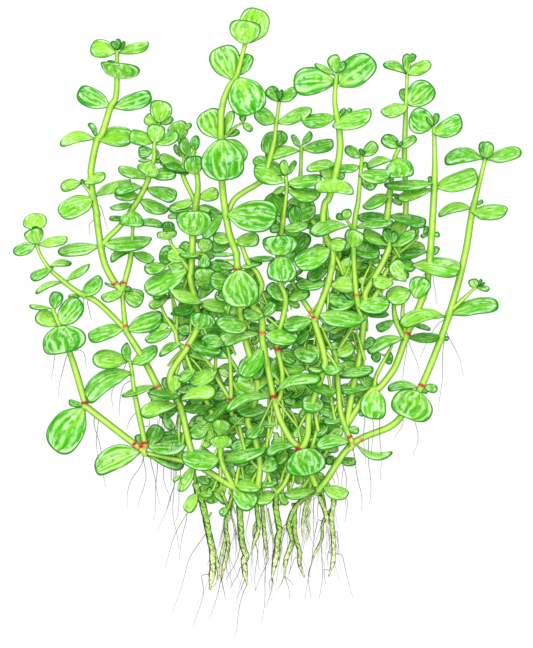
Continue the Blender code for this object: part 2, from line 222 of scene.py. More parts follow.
class Board:
    """A material's node board, with short ways to add to it and the colour painted so far."""

    def __init__(self, name: str) -> None:
        """Make the material with its one shader."""
        self.material = bpy.data.materials.new(name)
        self.material.use_nodes = True
        self.tree = self.material.node_tree
        self.shader = self.tree.nodes["Principled BSDF"]
        self.ground: Colour | Socket = (0.0, 0.0, 0.0)

    def node(self, kind: str, **settings: object) -> bpy.types.Node:
        """Add a node.

        Args:
            kind: Its type.
            settings: What to set on it.

        Returns:
            The node.
        """
        made = self.tree.nodes.new(kind)
        for key, value in settings.items():
            setattr(made, key, value)
        return made

    def feed(self, socket: Socket, value: object) -> None:
        """Set a socket to a value, or link another socket to it.

        Args:
            socket: The input.
            value: A number, a colour, or an output.
        """
        if isinstance(value, Socket):
            self.tree.links.new(value, socket)
        elif isinstance(value, tuple) and socket.type == "RGBA":
            socket.default_value = (*value, 1.0)
        else:
            socket.default_value = value

    def cover(self, **values: object) -> None:
        """Set the shader's sockets, named with underscores for spaces."""
        for name, value in values.items():
            self.feed(self.shader.inputs[name.replace("_", " ")], value)

    def painted(self, name: str) -> Socket:
        """Read a number that the mesh carries."""
        return self.node("ShaderNodeAttribute", attribute_name=name).outputs["Fac"]

    def maths(self, operation: str, *values: object) -> Socket:
        """Work out a number.

        Args:
            operation: Blender's name for it.
            values: What goes in.

        Returns:
            The result.
        """
        made = self.node("ShaderNodeMath", operation=operation)
        for socket, value in zip(made.inputs, values):
            self.feed(socket, value)
        return made.outputs[0]

    def scaled(self, value: object, factor: object, added: object) -> Socket:
        """A number times a factor, and something added."""
        return self.maths("MULTIPLY_ADD", value, factor, added)

    def times(self, *values: object) -> Socket:
        """Several numbers multiplied together."""
        return functools.reduce(lambda held, value: self.maths("MULTIPLY", held, value), values)

    def step(self, value: object, low: float, high: float, top: float = 1.0) -> Socket:
        """A soft step up, or a soft step down where low is above high.

        Args:
            value: What is measured.
            low: Where the step is 0.
            high: Where it is at its top.
            top: How high that is.

        Returns:
            The step.
        """
        made = self.node("ShaderNodeMapRange", interpolation_type="SMOOTHSTEP")
        settings = {"Value": value, "From Min": low, "From Max": high, "To Max": top}
        for name, setting in settings.items():
            self.feed(made.inputs[name], setting)
        return made.outputs[0]

    def lay(self, colour: Colour, *shares: object) -> None:
        """Lay a colour over what is painted so far.

        Args:
            colour: The colour.
            shares: Numbers whose product says how much of it shows.
        """
        made = self.node("ShaderNodeMix", data_type="RGBA")
        self.feed(made.inputs["Factor"], self.times(*shares))
        self.feed(made.inputs["A"], self.ground)
        self.feed(made.inputs["B"], colour)
        self.ground = made.outputs["Result"]

    def noise(self, place: object, scale: float, detail: float = 3.0) -> Socket:
        """A cloudy pattern from 0 to 1.

        Args:
            place: Where it is read.
            scale: How fine it is.
            detail: How many finer layers it has.

        Returns:
            Its strength.
        """
        made = self.node("ShaderNodeTexNoise")
        for name, value in {"Vector": place, "Scale": scale, "Detail": detail}.items():
            self.feed(made.inputs[name], value)
        return made.outputs["Fac"]

    def join(self, *numbers: object) -> Socket:
        """Three numbers as one place."""
        made = self.node("ShaderNodeCombineXYZ")
        for socket, value in zip(made.inputs, numbers):
            self.feed(socket, value)
        return made.outputs[0]

    def map_of(self, name: str) -> tuple[Socket, Socket]:
        """The two sides of the mesh's own map."""
        parts = self.node("ShaderNodeSeparateXYZ")
        self.feed(parts.inputs[0], self.node("ShaderNodeUVMap", uv_map=name).outputs[0])
        return parts.outputs[0], parts.outputs[1]

    def stem_map(self) -> tuple[Socket, Socket, Socket]:
        """How far aside of a stem's middle a place is, that distance unsigned, and how far along."""
        turn, along = self.map_of("stalk_map")
        aside = self.maths("SINE", self.times(turn, math.tau))
        return aside, self.maths("ABSOLUTE", aside), along

    def here(self) -> Socket:
        """The place in the frame, in metres."""
        return self.node("ShaderNodeTexCoord").outputs["Object"]

    def relief(self, height: object, depth: float, strength: float) -> None:
        """Raise the surface.

        Args:
            height: The pattern.
            depth: How deep it is, in millimetres.
            strength: How much of it shows.
        """
        made = self.node("ShaderNodeBump")
        for name, value in {"Height": height, "Distance": depth * MM, "Strength": strength}.items():
            self.feed(made.inputs[name], value)
        self.cover(Normal=made.outputs[0])


@dataclass(frozen=True)
class Finish:
    """What a piece is covered with."""

    name: str = "skin"
    shine: float = 0.5

    def make(self) -> bpy.types.Material:
        """Set up the material.

        Returns:
            The material.
        """
        board = Board(self.name)
        self.paint(board)
        board.cover(Base_Color=board.ground, Specular_IOR_Level=self.shine)
        return board.material

    def paint(self, board: Board) -> None:
        """Paint the board; each finish has its own way."""
        raise NotImplementedError


@functools.cache
def material_of(finish: Finish) -> bpy.types.Material:
    """The material of a finish, made once."""
    return finish.make()


@dataclass(frozen=True)
class LeafFinish(Finish):
    """The skin of a leaf: bright green with pale streaks, dark patches, painted shade, painted glints and
    a dark margin.

    Each leaf's own patterns are listed by how fine they are across and along the blade, and by
    how many finer layers they have.
    """

    name: str = "leaf_skin"
    shine: float = 0.05
    bright: Colour = (0.15, 0.61, 0.015)
    middle: Colour = (0.065, 0.46, 0.007)
    deep: Colour = (0.009, 0.23, 0.008)
    dark: Colour = (0.06, 0.31, 0.008)
    light: Colour = (0.42, 0.83, 0.055)
    pale: Colour = (0.70, 0.97, 0.56)
    margin: Colour = (0.012, 0.165, 0.008)
    underside: Colour = (0.20, 0.40, 0.12)
    own_patterns: tuple[Place, ...] = (
        (1.7, 2.8, 3.0), (1.3, 1.9, 1.0), (5.6, 2.8, 3.0), (9.0, 2.2, 2.0),
    )
    leaf_spacing: float = 37.0
    grain_scale: float = 2600.0
    wash_scale: float = 620.0
    fewest_streaks: float = 1.8
    more_streaks: float = 0.9

    def paint(self, board: Board) -> None:
        """Paint the ground and its tones, painted shade, the streaks, painted glints and highlights, the
        margin and the underside.

        Args:
            board: The material's board.
        """
        across01, along = board.map_of("leaf_map")
        across = board.scaled(across01, 2.0, -1.0)
        aside = board.maths("ABSOLUTE", across)
        mix = board.node("ShaderNodeAttribute", attribute_name="leaf_paints")
        paints = board.node("ShaderNodeSeparateColor")
        board.feed(paints.inputs[0], mix.outputs["Color"])
        pale, dark, light = paints.outputs
        own = mix.outputs["Alpha"]
        rim = board.painted("rim")
        here = board.here()
        grain = board.noise(here, self.grain_scale, 2.0)
        wash = board.noise(here, self.wash_scale)
        shift = board.times(own, self.leaf_spacing)
        patterns = []
        for fine_across, fine_along, layers in self.own_patterns:
            far, on = board.scaled(across, fine_across, shift), board.scaled(along, fine_along, shift)
            patterns.append(board.noise(board.join(far, on, shift), 1.0, layers))
        patch, warp, stroke, hatch = patterns
        board.ground = self.middle
        board.lay(self.bright, board.step(patch, 0.36, 0.64))
        board.lay(self.light, board.step(own, 0.45, 1.0, 0.45))
        board.lay(self.middle, board.step(own, 0.4, 0.0, 0.5))
        board.lay(self.light, light, 0.75)
        glow = board.step(wash, 0.36, 0.62, 0.55)
        board.lay(self.light, board.step(aside, 0.75, 0.05), glow, board.step(along, 0.95, 0.25))
        board.lay(self.dark, dark, 0.9)
        board.lay(self.light, board.step(along, 0.35, 0.05), board.scaled(dark, -0.6, 0.65))
        # Painted shade: darker green towards the margin, in patches.
        board.lay(self.deep, board.step(rim, 1.9, 0.3), board.step(patch, 0.62, 0.42, 0.55))
        streaked = board.step(pale, 0.6, 0.95)
        wander = board.scaled(warp, 1.5, -0.75)
        count = board.scaled(own, self.more_streaks, self.fewest_streaks)
        off_streak = board.maths("PINGPONG", board.scaled(across, count, wander), 0.5)
        uneven = board.scaled(dark, 0.16, board.scaled(stroke, 0.35, off_streak))
        ends = board.times(board.step(along, 0.0, 0.12), board.step(along, 0.96, 0.72))
        streak = board.times(board.step(uneven, 0.44, 0.17), ends)
        board.lay(
            self.deep,
            board.step(uneven, 0.37, 0.59),
            board.step(board.scaled(along, 0.3, patch), 0.5, 0.72),
            board.step(along, 1.0, 0.88),
            board.scaled(streaked, 0.3, 0.3),
            board.scaled(light, -0.6, 1.0),
        )
        shown = board.scaled(streaked, 0.3, board.times(pale, 0.3))
        board.lay(self.pale, streak, board.step(patch, 0.24, 0.58), shown)
        board.lay(self.deep, board.step(hatch, 0.57, 0.63), board.step(wash, 0.6, 0.45, 0.5))
        # Painted highlight: short pale glints away from the margin, fewer on streaked leaves.
        board.lay(
            self.pale,
            board.step(stroke, 0.47, 0.64),
            board.step(rim, 0.45, 0.85),
            board.step(wash, 0.38, 0.5),
            board.scaled(pale, 0.65, 0.25),
            board.scaled(streaked, -0.5, 1.0),
        )
        # Painted highlight: a broken pale band just inside the margin.
        board.lay(
            self.pale,
            board.step(rim, 0.3, 0.6),
            board.step(rim, 1.4, 0.7),
            board.step(stroke, 0.44, 0.56),
            board.scaled(dark, -0.4, 0.7),
        )
        board.lay(self.margin, board.step(rim, 0.42, 0.14, 0.92))
        board.lay(self.underside, board.step(board.painted("upper"), 0.5, 0.2, 0.6))
        board.cover(Roughness=board.scaled(grain, 0.25, 0.4))
        height = board.scaled(streak, -0.6, board.times(patch, 0.5))
        board.relief(board.scaled(grain, 0.15, height), 0.25, 0.5)


@dataclass(frozen=True)
class StalkFinish(Finish):
    """The skin of a stem: yellow-green with a painted highlight, painted shade greener on its flanks, red
    at some nodes.
    """

    name: str = "stalk_skin"
    shine: float = 0.09
    body: Colour = (0.31, 0.62, 0.04)
    light: Colour = (0.57, 0.81, 0.17)
    flank_shade: Colour = (0.018, 0.085, 0.006)
    green: Colour = (0.15, 0.47, 0.025)
    red: Colour = (0.60, 0.15, 0.085)
    deep_red: Colour = (0.40, 0.012, 0.028)
    cloud_scale: float = 220.0
    speck_scale: float = 560.0
    grain_scale: float = 3000.0

    def paint(self, board: Board) -> None:
        """Paint the body, its fibres, the painted highlight and the painted shade of the flanks, and the
        green and red of the nodes.

        Args:
            board: The material's board.
        """
        aside, out, along = board.stem_map()
        place = board.join(board.times(aside, 2.4), board.times(along, 1.3), 0.0)
        fibre = board.noise(place, 2.0, 4.0)
        here = board.here()
        cloud = board.noise(here, self.cloud_scale, 2.0)
        grain = board.noise(here, self.grain_scale, 2.0)
        board.ground = self.body
        # Painted highlight: paler along the middle of the stem as seen from above and below.
        board.lay(self.light, board.step(out, 0.6, 0.15))
        board.lay(self.body, board.step(fibre, 0.5, 0.66, 0.5))
        board.lay(self.green, board.step(cloud, 0.5, 0.75, 0.35))
        # Painted shade: greener towards the stem's two sides, and dark along their outer edges.
        board.lay(self.green, board.step(out, 0.45, 0.85, 0.45))
        board.lay(self.flank_shade, board.step(board.scaled(fibre, 0.2, out), 0.9, 1.02, 0.88))
        board.lay(self.green, board.painted("node"), 0.4)
        speck = board.noise(here, self.speck_scale, 2.0)
        redder = board.scaled(speck, 1.1, board.painted("red"))
        board.lay(self.red, board.step(redder, 0.87, 1.37, 0.84))
        board.lay(self.deep_red, board.step(redder, 1.25, 1.47, 0.9))
        board.cover(Roughness=board.scaled(grain, 0.2, 0.38))
        board.relief(board.scaled(grain, 0.2, fibre), 0.2, 0.5)


@dataclass(frozen=True)
class RootingFinish(Finish):
    """The skin of a rooting stem: pale or olive, with painted shade on one side and its edges, and scars
    across it.
    """

    name: str = "rooting_stem_skin"
    shine: float = 0.12
    green: Colour = (0.30, 0.69, 0.05)
    pale: Colour = (0.88, 0.97, 0.50)
    olive: Colour = (0.15, 0.27, 0.045)
    scar_and_shade: Colour = (0.018, 0.04, 0.014)
    cloud_scale: float = 500.0
    grain_scale: float = 3200.0

    def paint(self, board: Board) -> None:
        """Paint the body, its stains, the painted shade of the flanks, and the scars along and across it.

        Args:
            board: The material's board.
        """
        aside, out, along = board.stem_map()
        here = board.here()
        cloud = board.noise(here, self.cloud_scale)
        grain = board.noise(here, self.grain_scale, 2.0)
        fibre = board.noise(board.join(board.times(aside, 2.6), along, 0.0), 3.0, 4.0)
        board.ground = self.green
        board.lay(self.pale, board.step(fibre, 0.4, 0.7, 0.5))
        board.lay(self.pale, board.painted("paleness"), 0.92)
        board.lay(self.olive, board.painted("olive"), board.step(fibre, 0.46, 0.6, 0.7))
        # Painted shade: dark down one side of the rooting stem and along both its edges.
        shaded = board.scaled(aside, 0.5, board.times(out, 0.5))
        board.lay(self.scar_and_shade, board.step(board.scaled(cloud, 0.9, shaded), 0.97, 1.11, 0.9))
        board.lay(self.scar_and_shade, board.step(board.scaled(cloud, 0.4, out), 0.9, 1.04, 0.88))
        board.lay(self.scar_and_shade, board.step(fibre, 0.52, 0.58), board.step(cloud, 0.42, 0.52, 0.85))
        slanting = board.scaled(along, 11.0, board.times(aside, 0.9))
        scars = board.noise(board.join(board.times(aside, 0.6), slanting, 0.0), 1.0, 2.0)
        crossing = board.scaled(along, 16.0, board.times(aside, -1.6))
        nicks = board.noise(board.join(board.times(aside, 0.9), crossing, 4.0), 1.0, 1.0)
        cut = board.maths(
            "MAXIMUM", board.step(scars, 0.57, 0.62, 0.8), board.step(nicks, 0.62, 0.68, 0.7)
        )
        board.lay(self.scar_and_shade, cut)
        board.cover(Roughness=board.scaled(grain, 0.25, 0.5))
        board.relief(board.scaled(cut, -0.8, fibre), 0.3, 0.6)


@dataclass(frozen=True)
class HairFinish(Finish):
    """The skin of a hair root: grey, darker and paler along its length."""

    name: str = "hair_root_skin"
    grey: Colour = (0.16, 0.165, 0.17)
    dark: Colour = (0.03, 0.035, 0.035)
    cloud_scale: float = 120.0

    def paint(self, board: Board) -> None:
        """Paint the grey and its darker stretches."""
        cloud = board.noise(board.here(), self.cloud_scale)
        board.ground = self.grey
        board.lay(self.dark, board.step(cloud, 0.4, 0.7))
        board.cover(Roughness=board.scaled(cloud, 0.2, 0.6))
        board.relief(cloud, 0.05, 0.3)


@dataclass(frozen=True)
class FloorFinish(Finish):
    """Plain pale studio floor, lit from below as a light table is."""

    name: str = "studio_floor"
    shine: float = 0.0
    pale: Colour = (0.13, 0.13, 0.13)
    glow: Colour = (1.0, 1.0, 1.0)
    glow_strength: float = 0.93
    roughness: float = 0.9

    def paint(self, board: Board) -> None:
        """Paint it plain and set its glow."""
        board.ground = self.pale
        board.cover(Emission_Color=self.glow, Emission_Strength=self.glow_strength)
        board.cover(Roughness=self.roughness)


def layer_of(layers: object, name: str) -> Layer:
    """The layer of that name, made when it is first asked for."""
    return layers.get(name) or layers.new(name)


class Shaper:
    """A mesh in the making, with the values that its material reads."""

    def __init__(self, name: str, seed: str = "") -> None:
        """Start an empty mesh, with luck that its small differences come from."""
        self.name = name
        self.luck = random.Random(seed)
        self.shape = bmesh.new()

    def face(
        self,
        corners: list[bmesh.types.BMVert],
        spots: list[Range],
        flat_map: Layer,
        material: int,
    ) -> None:
        """Add a face.

        Args:
            corners: Its points, in order.
            spots: Where each of them lies on the mesh's own map.
            flat_map: The map's layer.
            material: Which of the piece's finishes it takes.
        """
        face = self.shape.faces.new(corners)
        face.material_index = material
        for loop, spot in zip(face.loops, spots):
            loop[flat_map].uv = spot

    def finish(self, finishes: tuple[Finish, ...], slot: str, stands_for: tuple[str, ...]) -> None:
        """Turn the mesh into a piece of the plant.

        Args:
            finishes: Its finishes, in the order that its faces name them.
            slot: The record's slot for its finish; not used.
            stands_for: The CAD nodes that it replaces.
        """
        mesh = bpy.data.meshes.new(self.name)
        self.shape.to_mesh(mesh)
        self.shape.free()
        mesh.shade_smooth()
        for finish in finishes:
            mesh.materials.append(material_of(finish))
        piece = bpy.data.objects.new(self.name, mesh)
        bpy.context.scene.collection.objects.link(piece)
        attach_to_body(piece, BODY)
        if stands_for:
            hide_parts(*stands_for)
        LOG.info("%s: %d faces", self.name, len(mesh.polygons))


@dataclass(frozen=True)
class TubeMaker:
    """Makes the skin of a stem, twig or root round a line of points."""

    sides: int = 12
    end_reach: float = 0.7
    map_length: float = 10.0

    def add(
        self,
        shaper: Shaper,
        points: list[Vector],
        radii: list[float],
        marks: dict[str, list[float]],
        material: int = 0,
    ) -> None:
        """Add one tube.

        Args:
            shaper: The mesh in the making.
            points: Its middle line, in millimetres.
            radii: Its radius at each point.
            marks: Numbers for each point, by the name that the material reads.
            material: Which of the piece's finishes it takes.
        """
        shape = shaper.shape
        layers = {name: layer_of(shape.verts.layers.float, name) for name in marks}
        flat_map = layer_of(shape.loops.layers.uv, "stalk_map")
        rings, arcs, arc = [], [], 0.0
        for index, (point, radius) in enumerate(zip(points, radii)):
            ahead = points[min(index + 1, len(points) - 1)]
            behind = points[max(index - 1, 0)]
            along = (ahead - behind).normalized()
            aside = along.cross(Vector((0, 0, 1))).normalized()
            up = aside.cross(along)
            ring = []
            for side in range(self.sides):
                angle = math.tau * side / self.sides
                out = up * math.cos(angle) + aside * math.sin(angle)
                corner = shape.verts.new(plan(point + out * radius))
                for name, layer in layers.items():
                    corner[layer] = marks[name][index]
                ring.append(corner)
            rings.append(ring)
            arc += (point - behind).length
            arcs.append(arc / self.map_length)
        for low, high, start, end in zip(rings, rings[1:], arcs, arcs[1:]):
            for side in range(self.sides):
                after = (side + 1) % self.sides
                left, right = side / self.sides, (side + 1) / self.sides
                corners = (low[side], low[after], high[after], high[side])
                spots = ((left, start), (right, start), (right, end), (left, end))
                shaper.face(corners, spots, flat_map, material)
        for ring, end, inner in ((rings[0], 0, 1), (rings[-1], -1, -2)):
            out = (points[end] - points[inner]).normalized() * radii[end] * self.end_reach
            cap = shape.verts.new(plan(points[end] + out))
            for name, layer in layers.items():
                cap[layer] = marks[name][end]
            for side in range(self.sides):
                corners = (ring[side], ring[(side + 1) % self.sides], cap)
                spots = [(turn / self.sides, arcs[end]) for turn in (side, side + 1, side + 0.5)]
                if end == 0:
                    corners, spots = corners[::-1], spots[::-1]
                shaper.face(corners, spots, flat_map, material)


@dataclass
class Stalk:
    """One stem, with its leaf nodes."""

    name: str
    radius: float
    places: tuple[Place, ...]
    tip_share: float = 0.62
    taper: float = 26.0
    taper_share: float = 0.6
    slimness: float = 1.02
    swelling: float = 0.18
    node_reach: float = 0.9
    step: float = 0.8
    course: Course = field(init=False)
    nodes: list[float] = field(init=False, default_factory=list)

    def __post_init__(self) -> None:
        """Draw its line."""
        self.course = Course(self.places, self.step)

    def node_at(self, arc: float) -> float:
        """How much of a node there is at a distance from the free end."""
        return max((bell(arc - node, self.node_reach) for node in self.nodes), default=0.0)

    def radius_at(self, arc: float) -> float:
        """The radius at a distance from the free end."""
        taper = min(self.taper, self.course.length * self.taper_share)
        thinning = self.tip_share + (1 - self.tip_share) * eased(arc / taper)
        swelling = 1 + self.swelling * self.node_at(arc)
        return self.radius * self.slimness * thinning * swelling

    def add_to(self, shaper: Shaper) -> None:
        """Add its skin to a mesh."""
        radii = [self.radius_at(arc) for arc in self.course.arcs]
        marks = {
            "node": [self.node_at(arc) for arc in self.course.arcs],
            "red": [redness(point) for point in self.course.points],
        }
        TubeMaker().add(shaper, self.course.points, radii, marks)


def redness(point: Vector) -> float:
    """How red a stem is at a point."""
    return max(bell(math.hypot(point.x - x, point.y - y), RED_REACH) for x, y in RED_SPOTS)


@dataclass(frozen=True)
class Blade:
    """Where one leaf blade goes, in millimetres."""

    base: Vector
    tip: Vector
    width: float
    roll: float
    tone: Tone
    bow: int


@dataclass(frozen=True)
class BladeMaker:
    """Makes thin leaf blades with a crown, a fold along the middle and a wavy margin.

    A fullness of 2 gives an oval, and a greater one a squarer outline. The heights are shares of
    the blade's length or width. A blade longer than a cell count's length has that many cells
    each way.
    """

    thickness: float = 0.34
    thin_margin: int = 8
    crown: float = 0.055
    arched_crown: float = 0.2
    crown_range: Range = (0.6, 1.5)
    cup: float = 0.09
    fold: float = 0.03
    fold_reach: float = 0.2
    wave: float = 0.022
    waves: tuple[int, int] = (2, 3)
    bend: float = 0.05
    twist: float = 0.1
    fullness: float = 2.4
    base_fullness: float = 2.05
    uneven: float = 0.02
    nick_counts: tuple[int, int] = (3, 5)
    base_pinch: float = 0.34
    pinch_reach: float = 0.2
    unpinched: float = 1.2
    pinch_change: float = 0.45
    widest_late: float = 0.12
    late_range: Range = (0.2, 1.6)
    fainter: float = 0.0
    lowest: float = 0.15
    upper_at_margin: float = 0.6
    narrowest_map: float = 0.1
    cell_counts: tuple[tuple[float, int], ...] = ((13.0, 18), (7.0, 12), (0.0, 8))

    def outline(self, angle: float, nicks: list[tuple[int, float]]) -> float:
        """How far out the margin is, next to a circle.

        Args:
            angle: The way from the blade's middle, from its tip.
            nicks: How often each unevenness repeats, and where it starts.

        Returns:
            The share.
        """
        power = self.fullness if math.cos(angle) > 0 else self.base_fullness
        sum_of_powers = abs(math.cos(angle)) ** power + abs(math.sin(angle)) ** power
        nick = sum(math.sin(often * angle + start) / often for often, start in nicks)
        return sum_of_powers ** (-1 / power) * (1 + 2 * self.uneven * nick)

    def add(self, shaper: Shaper, blade: Blade) -> None:
        """Add one blade.

        Args:
            shaper: The mesh in the making.
            blade: Where it goes.
        """
        shape, luck = shaper.shape, shaper.luck
        paints = layer_of(shape.verts.layers.float_color, "leaf_paints")
        rim_layer = layer_of(shape.verts.layers.float, "rim")
        upper_layer = layer_of(shape.verts.layers.float, "upper")
        flat_map = layer_of(shape.loops.layers.uv, "leaf_map")
        run = blade.tip - blade.base
        length = run.length
        along = run.normalized()
        up = (Vector((0, 0, 1)) - along * along.z).normalized()
        side = up.cross(along)
        roll = math.radians(blade.roll if side.y >= 0 else -blade.roll)
        facing = up * math.cos(roll) + side * math.sin(roll)
        across = facing.cross(along)
        crown = self.arched_crown * blade.bow or self.crown * luck.uniform(*self.crown_range)
        phase = luck.uniform(0, math.tau)
        waves = luck.choice(self.waves)
        bend = luck.uniform(-self.bend, self.bend)
        late = self.widest_late * luck.uniform(*self.late_range)
        twist = luck.uniform(-self.twist, self.twist)
        colours = (*TONE_PAINTS[blade.tone], luck.random())
        narrowness = (self.unpinched - blade.width / length) / self.pinch_change
        pinch = self.base_pinch * eased(narrowness)
        nicks = [(often, luck.uniform(0, math.tau)) for often in self.nick_counts]
        count = next(cells for least, cells in self.cell_counts if length > least)
        steps = [-math.cos(math.pi * index / count) for index in range(count + 1)]
        tops, bottoms, maps = {}, {}, {}
        for i, u in enumerate(steps):
            for j, v in enumerate(steps):
                reach, spread = on_disc(u, v)
                disc = min(1.0, math.hypot(reach, spread))
                held = max(math.sqrt(max(0.0, 1 - reach * reach)), self.narrowest_map)
                map_across = 0.5 + 0.5 * spread / held
                angle = math.atan2(spread, reach)
                outline = self.outline(angle, nicks)
                reach *= outline
                spread *= outline
                share = (reach + 1) / 2
                arch = 1 - reach * reach
                lateral = spread * (1 + late * reach - pinch * bell(share, self.pinch_reach))
                height = crown * length * arch
                height -= self.cup * blade.width * lateral * lateral
                height -= self.fold * blade.width * bell(spread, self.fold_reach) * arch
                ripple = math.sin(waves * angle + phase) * disc**3 * eased(share * 3)
                height += self.wave * blade.width * ripple
                height += twist * blade.width * lateral * share
                aside = blade.width * lateral / 2 + bend * length * arch
                middle = blade.base + along * length * share + across * aside + facing * height
                at_margin = i in (0, count) or j in (0, count)
                half = 0.0 if at_margin else self.thickness / 2 * (1 - disc**self.thin_margin)
                rim = (1 - disc) * min(blade.width, length) / 2 + self.fainter
                maps[i, j] = (map_across, share)
                for sheet, sign in ((tops, 1), (bottoms, -1)):
                    if at_margin and sign < 0:
                        sheet[i, j] = tops[i, j]
                        continue
                    point = middle + facing * half * sign
                    point.z = max(point.z, self.lowest)
                    corner = shape.verts.new(plan(point))
                    corner[paints] = colours
                    corner[rim_layer] = rim
                    corner[upper_layer] = self.upper_at_margin if at_margin else 0.5 + 0.5 * sign
                    sheet[i, j] = corner
        for i in range(count):
            for j in range(count):
                keys = ((i, j), (i + 1, j), (i + 1, j + 1), (i, j + 1))
                for sheet, order in ((tops, keys), (bottoms, keys[::-1])):
                    spots = [maps[key] for key in order]
                    shaper.face([sheet[key] for key in order], spots, flat_map, 0)


@dataclass(frozen=True)
class Growth:
    """How leaves seen from above stand on their stems.

    The rolls and rises named steepest are in degrees. The other rises and falls are shares of
    the leaf's length as it is seen.
    """

    roundness: float = 0.86
    arched_roundness: float = 0.62
    steepest_roll: float = 62.0
    steepest_rise: float = 60.0
    attach: float = 0.7
    wider: float = 1.13
    longer: float = 1.05
    lowest: float = 0.6
    highest: float = 30.5
    drawn_in: float = 3.4
    drawn_to: float = 0.6
    facing_away: float = 0.35
    chance_rises: Range = (-0.04, 0.1)
    over_rise: float = 0.62
    under_fall: float = 0.6
    lean: float = 0.2

    def drawn(self, base: Vector, tip: Vector, stem: Vector, radius: float) -> Vector:
        """Draw a leaf's base in to its stem where it springs from close by.

        Args:
            base: Where the leaf is seen to start, in plan.
            tip: Its tip, in plan.
            stem: The point of the stem that it springs from.
            radius: The stem's radius.

        Returns:
            The base, in plan.
        """
        away = base - stem.xy
        run = tip - base
        gap = away.length
        inside = radius * self.drawn_to
        if not inside < gap < self.drawn_in:
            return base
        if away.dot(run) < self.facing_away * gap * run.length:
            return base
        return stem.xy + away * (inside / gap)

    def place(self, row: SeenLeaf, stem: Vector, radius: float, luck: random.Random) -> Blade:
        """Work out where a leaf goes from how it is seen.

        Args:
            row: Its base and tip, its seen width, and its tone, side and habit.
            stem: The point of the stem that it springs from.
            radius: The stem's radius.
            luck: Where its small differences come from.

        Returns:
            The blade.
        """
        base_x, base_y, tip_x, tip_y, seen_width, code = row
        width = seen_width = seen_width * self.wider
        tip_x = base_x + (tip_x - base_x) * self.longer
        tip_y = base_y + (tip_y - base_y) * self.longer
        seen_base, seen_tip = Vector((base_x, base_y)), Vector((tip_x, tip_y))
        base_x, base_y = self.drawn(seen_base, seen_tip, stem, radius)
        tone, side, bow = Tone(code[0]), Side(code[1]), BOWS.get(code[-1], 0)
        hold = {Side.FRONT: 1, Side.OVER: 1, Side.FLANK: 0}.get(side, -1)
        base = Vector((base_x, base_y, max(self.lowest, stem.z + hold * radius * self.attach)))
        flat = math.hypot(tip_x - base_x, tip_y - base_y)
        round_share = self.arched_roundness if bow else self.roundness
        roll = 0.0
        rise = luck.uniform(*self.chance_rises) * flat
        if seen_width < round_share * flat:
            full = round_share * flat
            roll = min(self.steepest_roll, math.degrees(math.acos(seen_width / full)))
            room = 2 * (base.z - self.lowest)
            width = seen_width / math.cos(math.radians(roll))
            if width * math.sin(math.radians(roll)) > room:
                width = math.hypot(seen_width, room)
                roll = math.degrees(math.acos(seen_width / width))
            rises = {Side.OVER: self.over_rise, Side.FRONT: self.lean, Side.BACK: -self.lean}
            rises[Side.UNDER] = -self.under_fall
            rise += rises.get(side, 0.0) * flat
        else:
            steep = math.acos(min(1.0, flat / (seen_width / round_share)))
            steep = min(math.radians(self.steepest_rise), steep)
            rise = math.tan(steep) * flat * (-1 if hold < 0 else 1)
        tip_z = min(self.highest, max(self.lowest, base.z + rise))
        return Blade(base, Vector((tip_x, tip_y, tip_z)), width, roll, tone, bow)


@dataclass
class Thicket:
    """All the stems, and which of them carries a given leaf."""

    stalks: tuple[Stalk, ...]
    own_reach: float = 3.0
    by_name: dict[str, Stalk] = field(init=False)

    def __post_init__(self) -> None:
        """Index the stems by name."""
        self.by_name = {stalk.name: stalk for stalk in self.stalks}

    def carrier(self, x: float, y: float, own: tuple[str, ...]) -> tuple[Stalk, float, Vector]:
        """Find the stem that a leaf springs from.

        Args:
            x: Across the bunch.
            y: Up the bunch.
            own: The stems that are tried first.

        Returns:
            The stem, how far along it the leaf is, and the point there.
        """
        best = (math.inf,)
        for names in (own, tuple(self.by_name)):
            for name in names:
                stalk = self.by_name[name]
                distance, arc, point = stalk.course.nearest(x, y)
                if distance < best[0]:
                    best = (distance, stalk, arc, point)
            if best[0] < self.own_reach:
                break
        return best[1:]


@dataclass(frozen=True)
class TwigMaker:
    """Makes the short twig that joins a leaf to a stem a little way off."""

    radius: float = 0.42
    thinning: float = 0.3
    gap: float = 0.2
    inset: float = 0.5
    sag: float = 0.12
    greenness: float = 0.4
    count: int = 7
    sides: int = 7

    def add(self, shaper: Shaper, stem: Vector, radius: float, blade: Blade) -> None:
        """Add a twig where the leaf's base doesn't reach its stem.

        Args:
            shaper: The mesh in the making.
            stem: The stem's middle.
            radius: The stem's radius.
            blade: The leaf.
        """
        if (blade.base - stem).length < radius + self.gap:
            return
        end = blade.base + (blade.tip - blade.base).normalized() * self.inset
        middle = (stem + end) / 2 + Vector((0, 0, -self.sag * (end - stem).length))
        points, radii = [], []
        for index in range(self.count):
            share = index / (self.count - 1)
            ends = stem * (1 - share) ** 2 + end * share**2
            points.append(ends + middle * 2 * share * (1 - share))
            radii.append(self.radius * (1 - self.thinning * index / self.count))
        marks = {"node": [self.greenness] * self.count, "red": [0.0] * self.count}
        TubeMaker(sides=self.sides).add(shaper, points, radii, marks, material=1)


class Piece:
    """A piece of the plant that grows on the stems."""

    name: str
    ending: ClassVar[str] = ""
    stands_for: tuple[str, ...] = ()
    slot: str = "plain_leaf"
    finishes: ClassVar[tuple[Finish, ...]] = (LeafFinish(), StalkFinish())

    def build(self, thicket: Thicket) -> None:
        """Build it.

        Args:
            thicket: The stems that it grows on.
        """
        shaper = Shaper(self.name + self.ending, self.name)
        self.grow(shaper, thicket)
        shaper.finish(self.finishes, self.slot, self.stands_for)

    def grow(self, shaper: Shaper, thicket: Thicket) -> None:
        """Add to its mesh; each kind of piece has its own way."""
        raise NotImplementedError


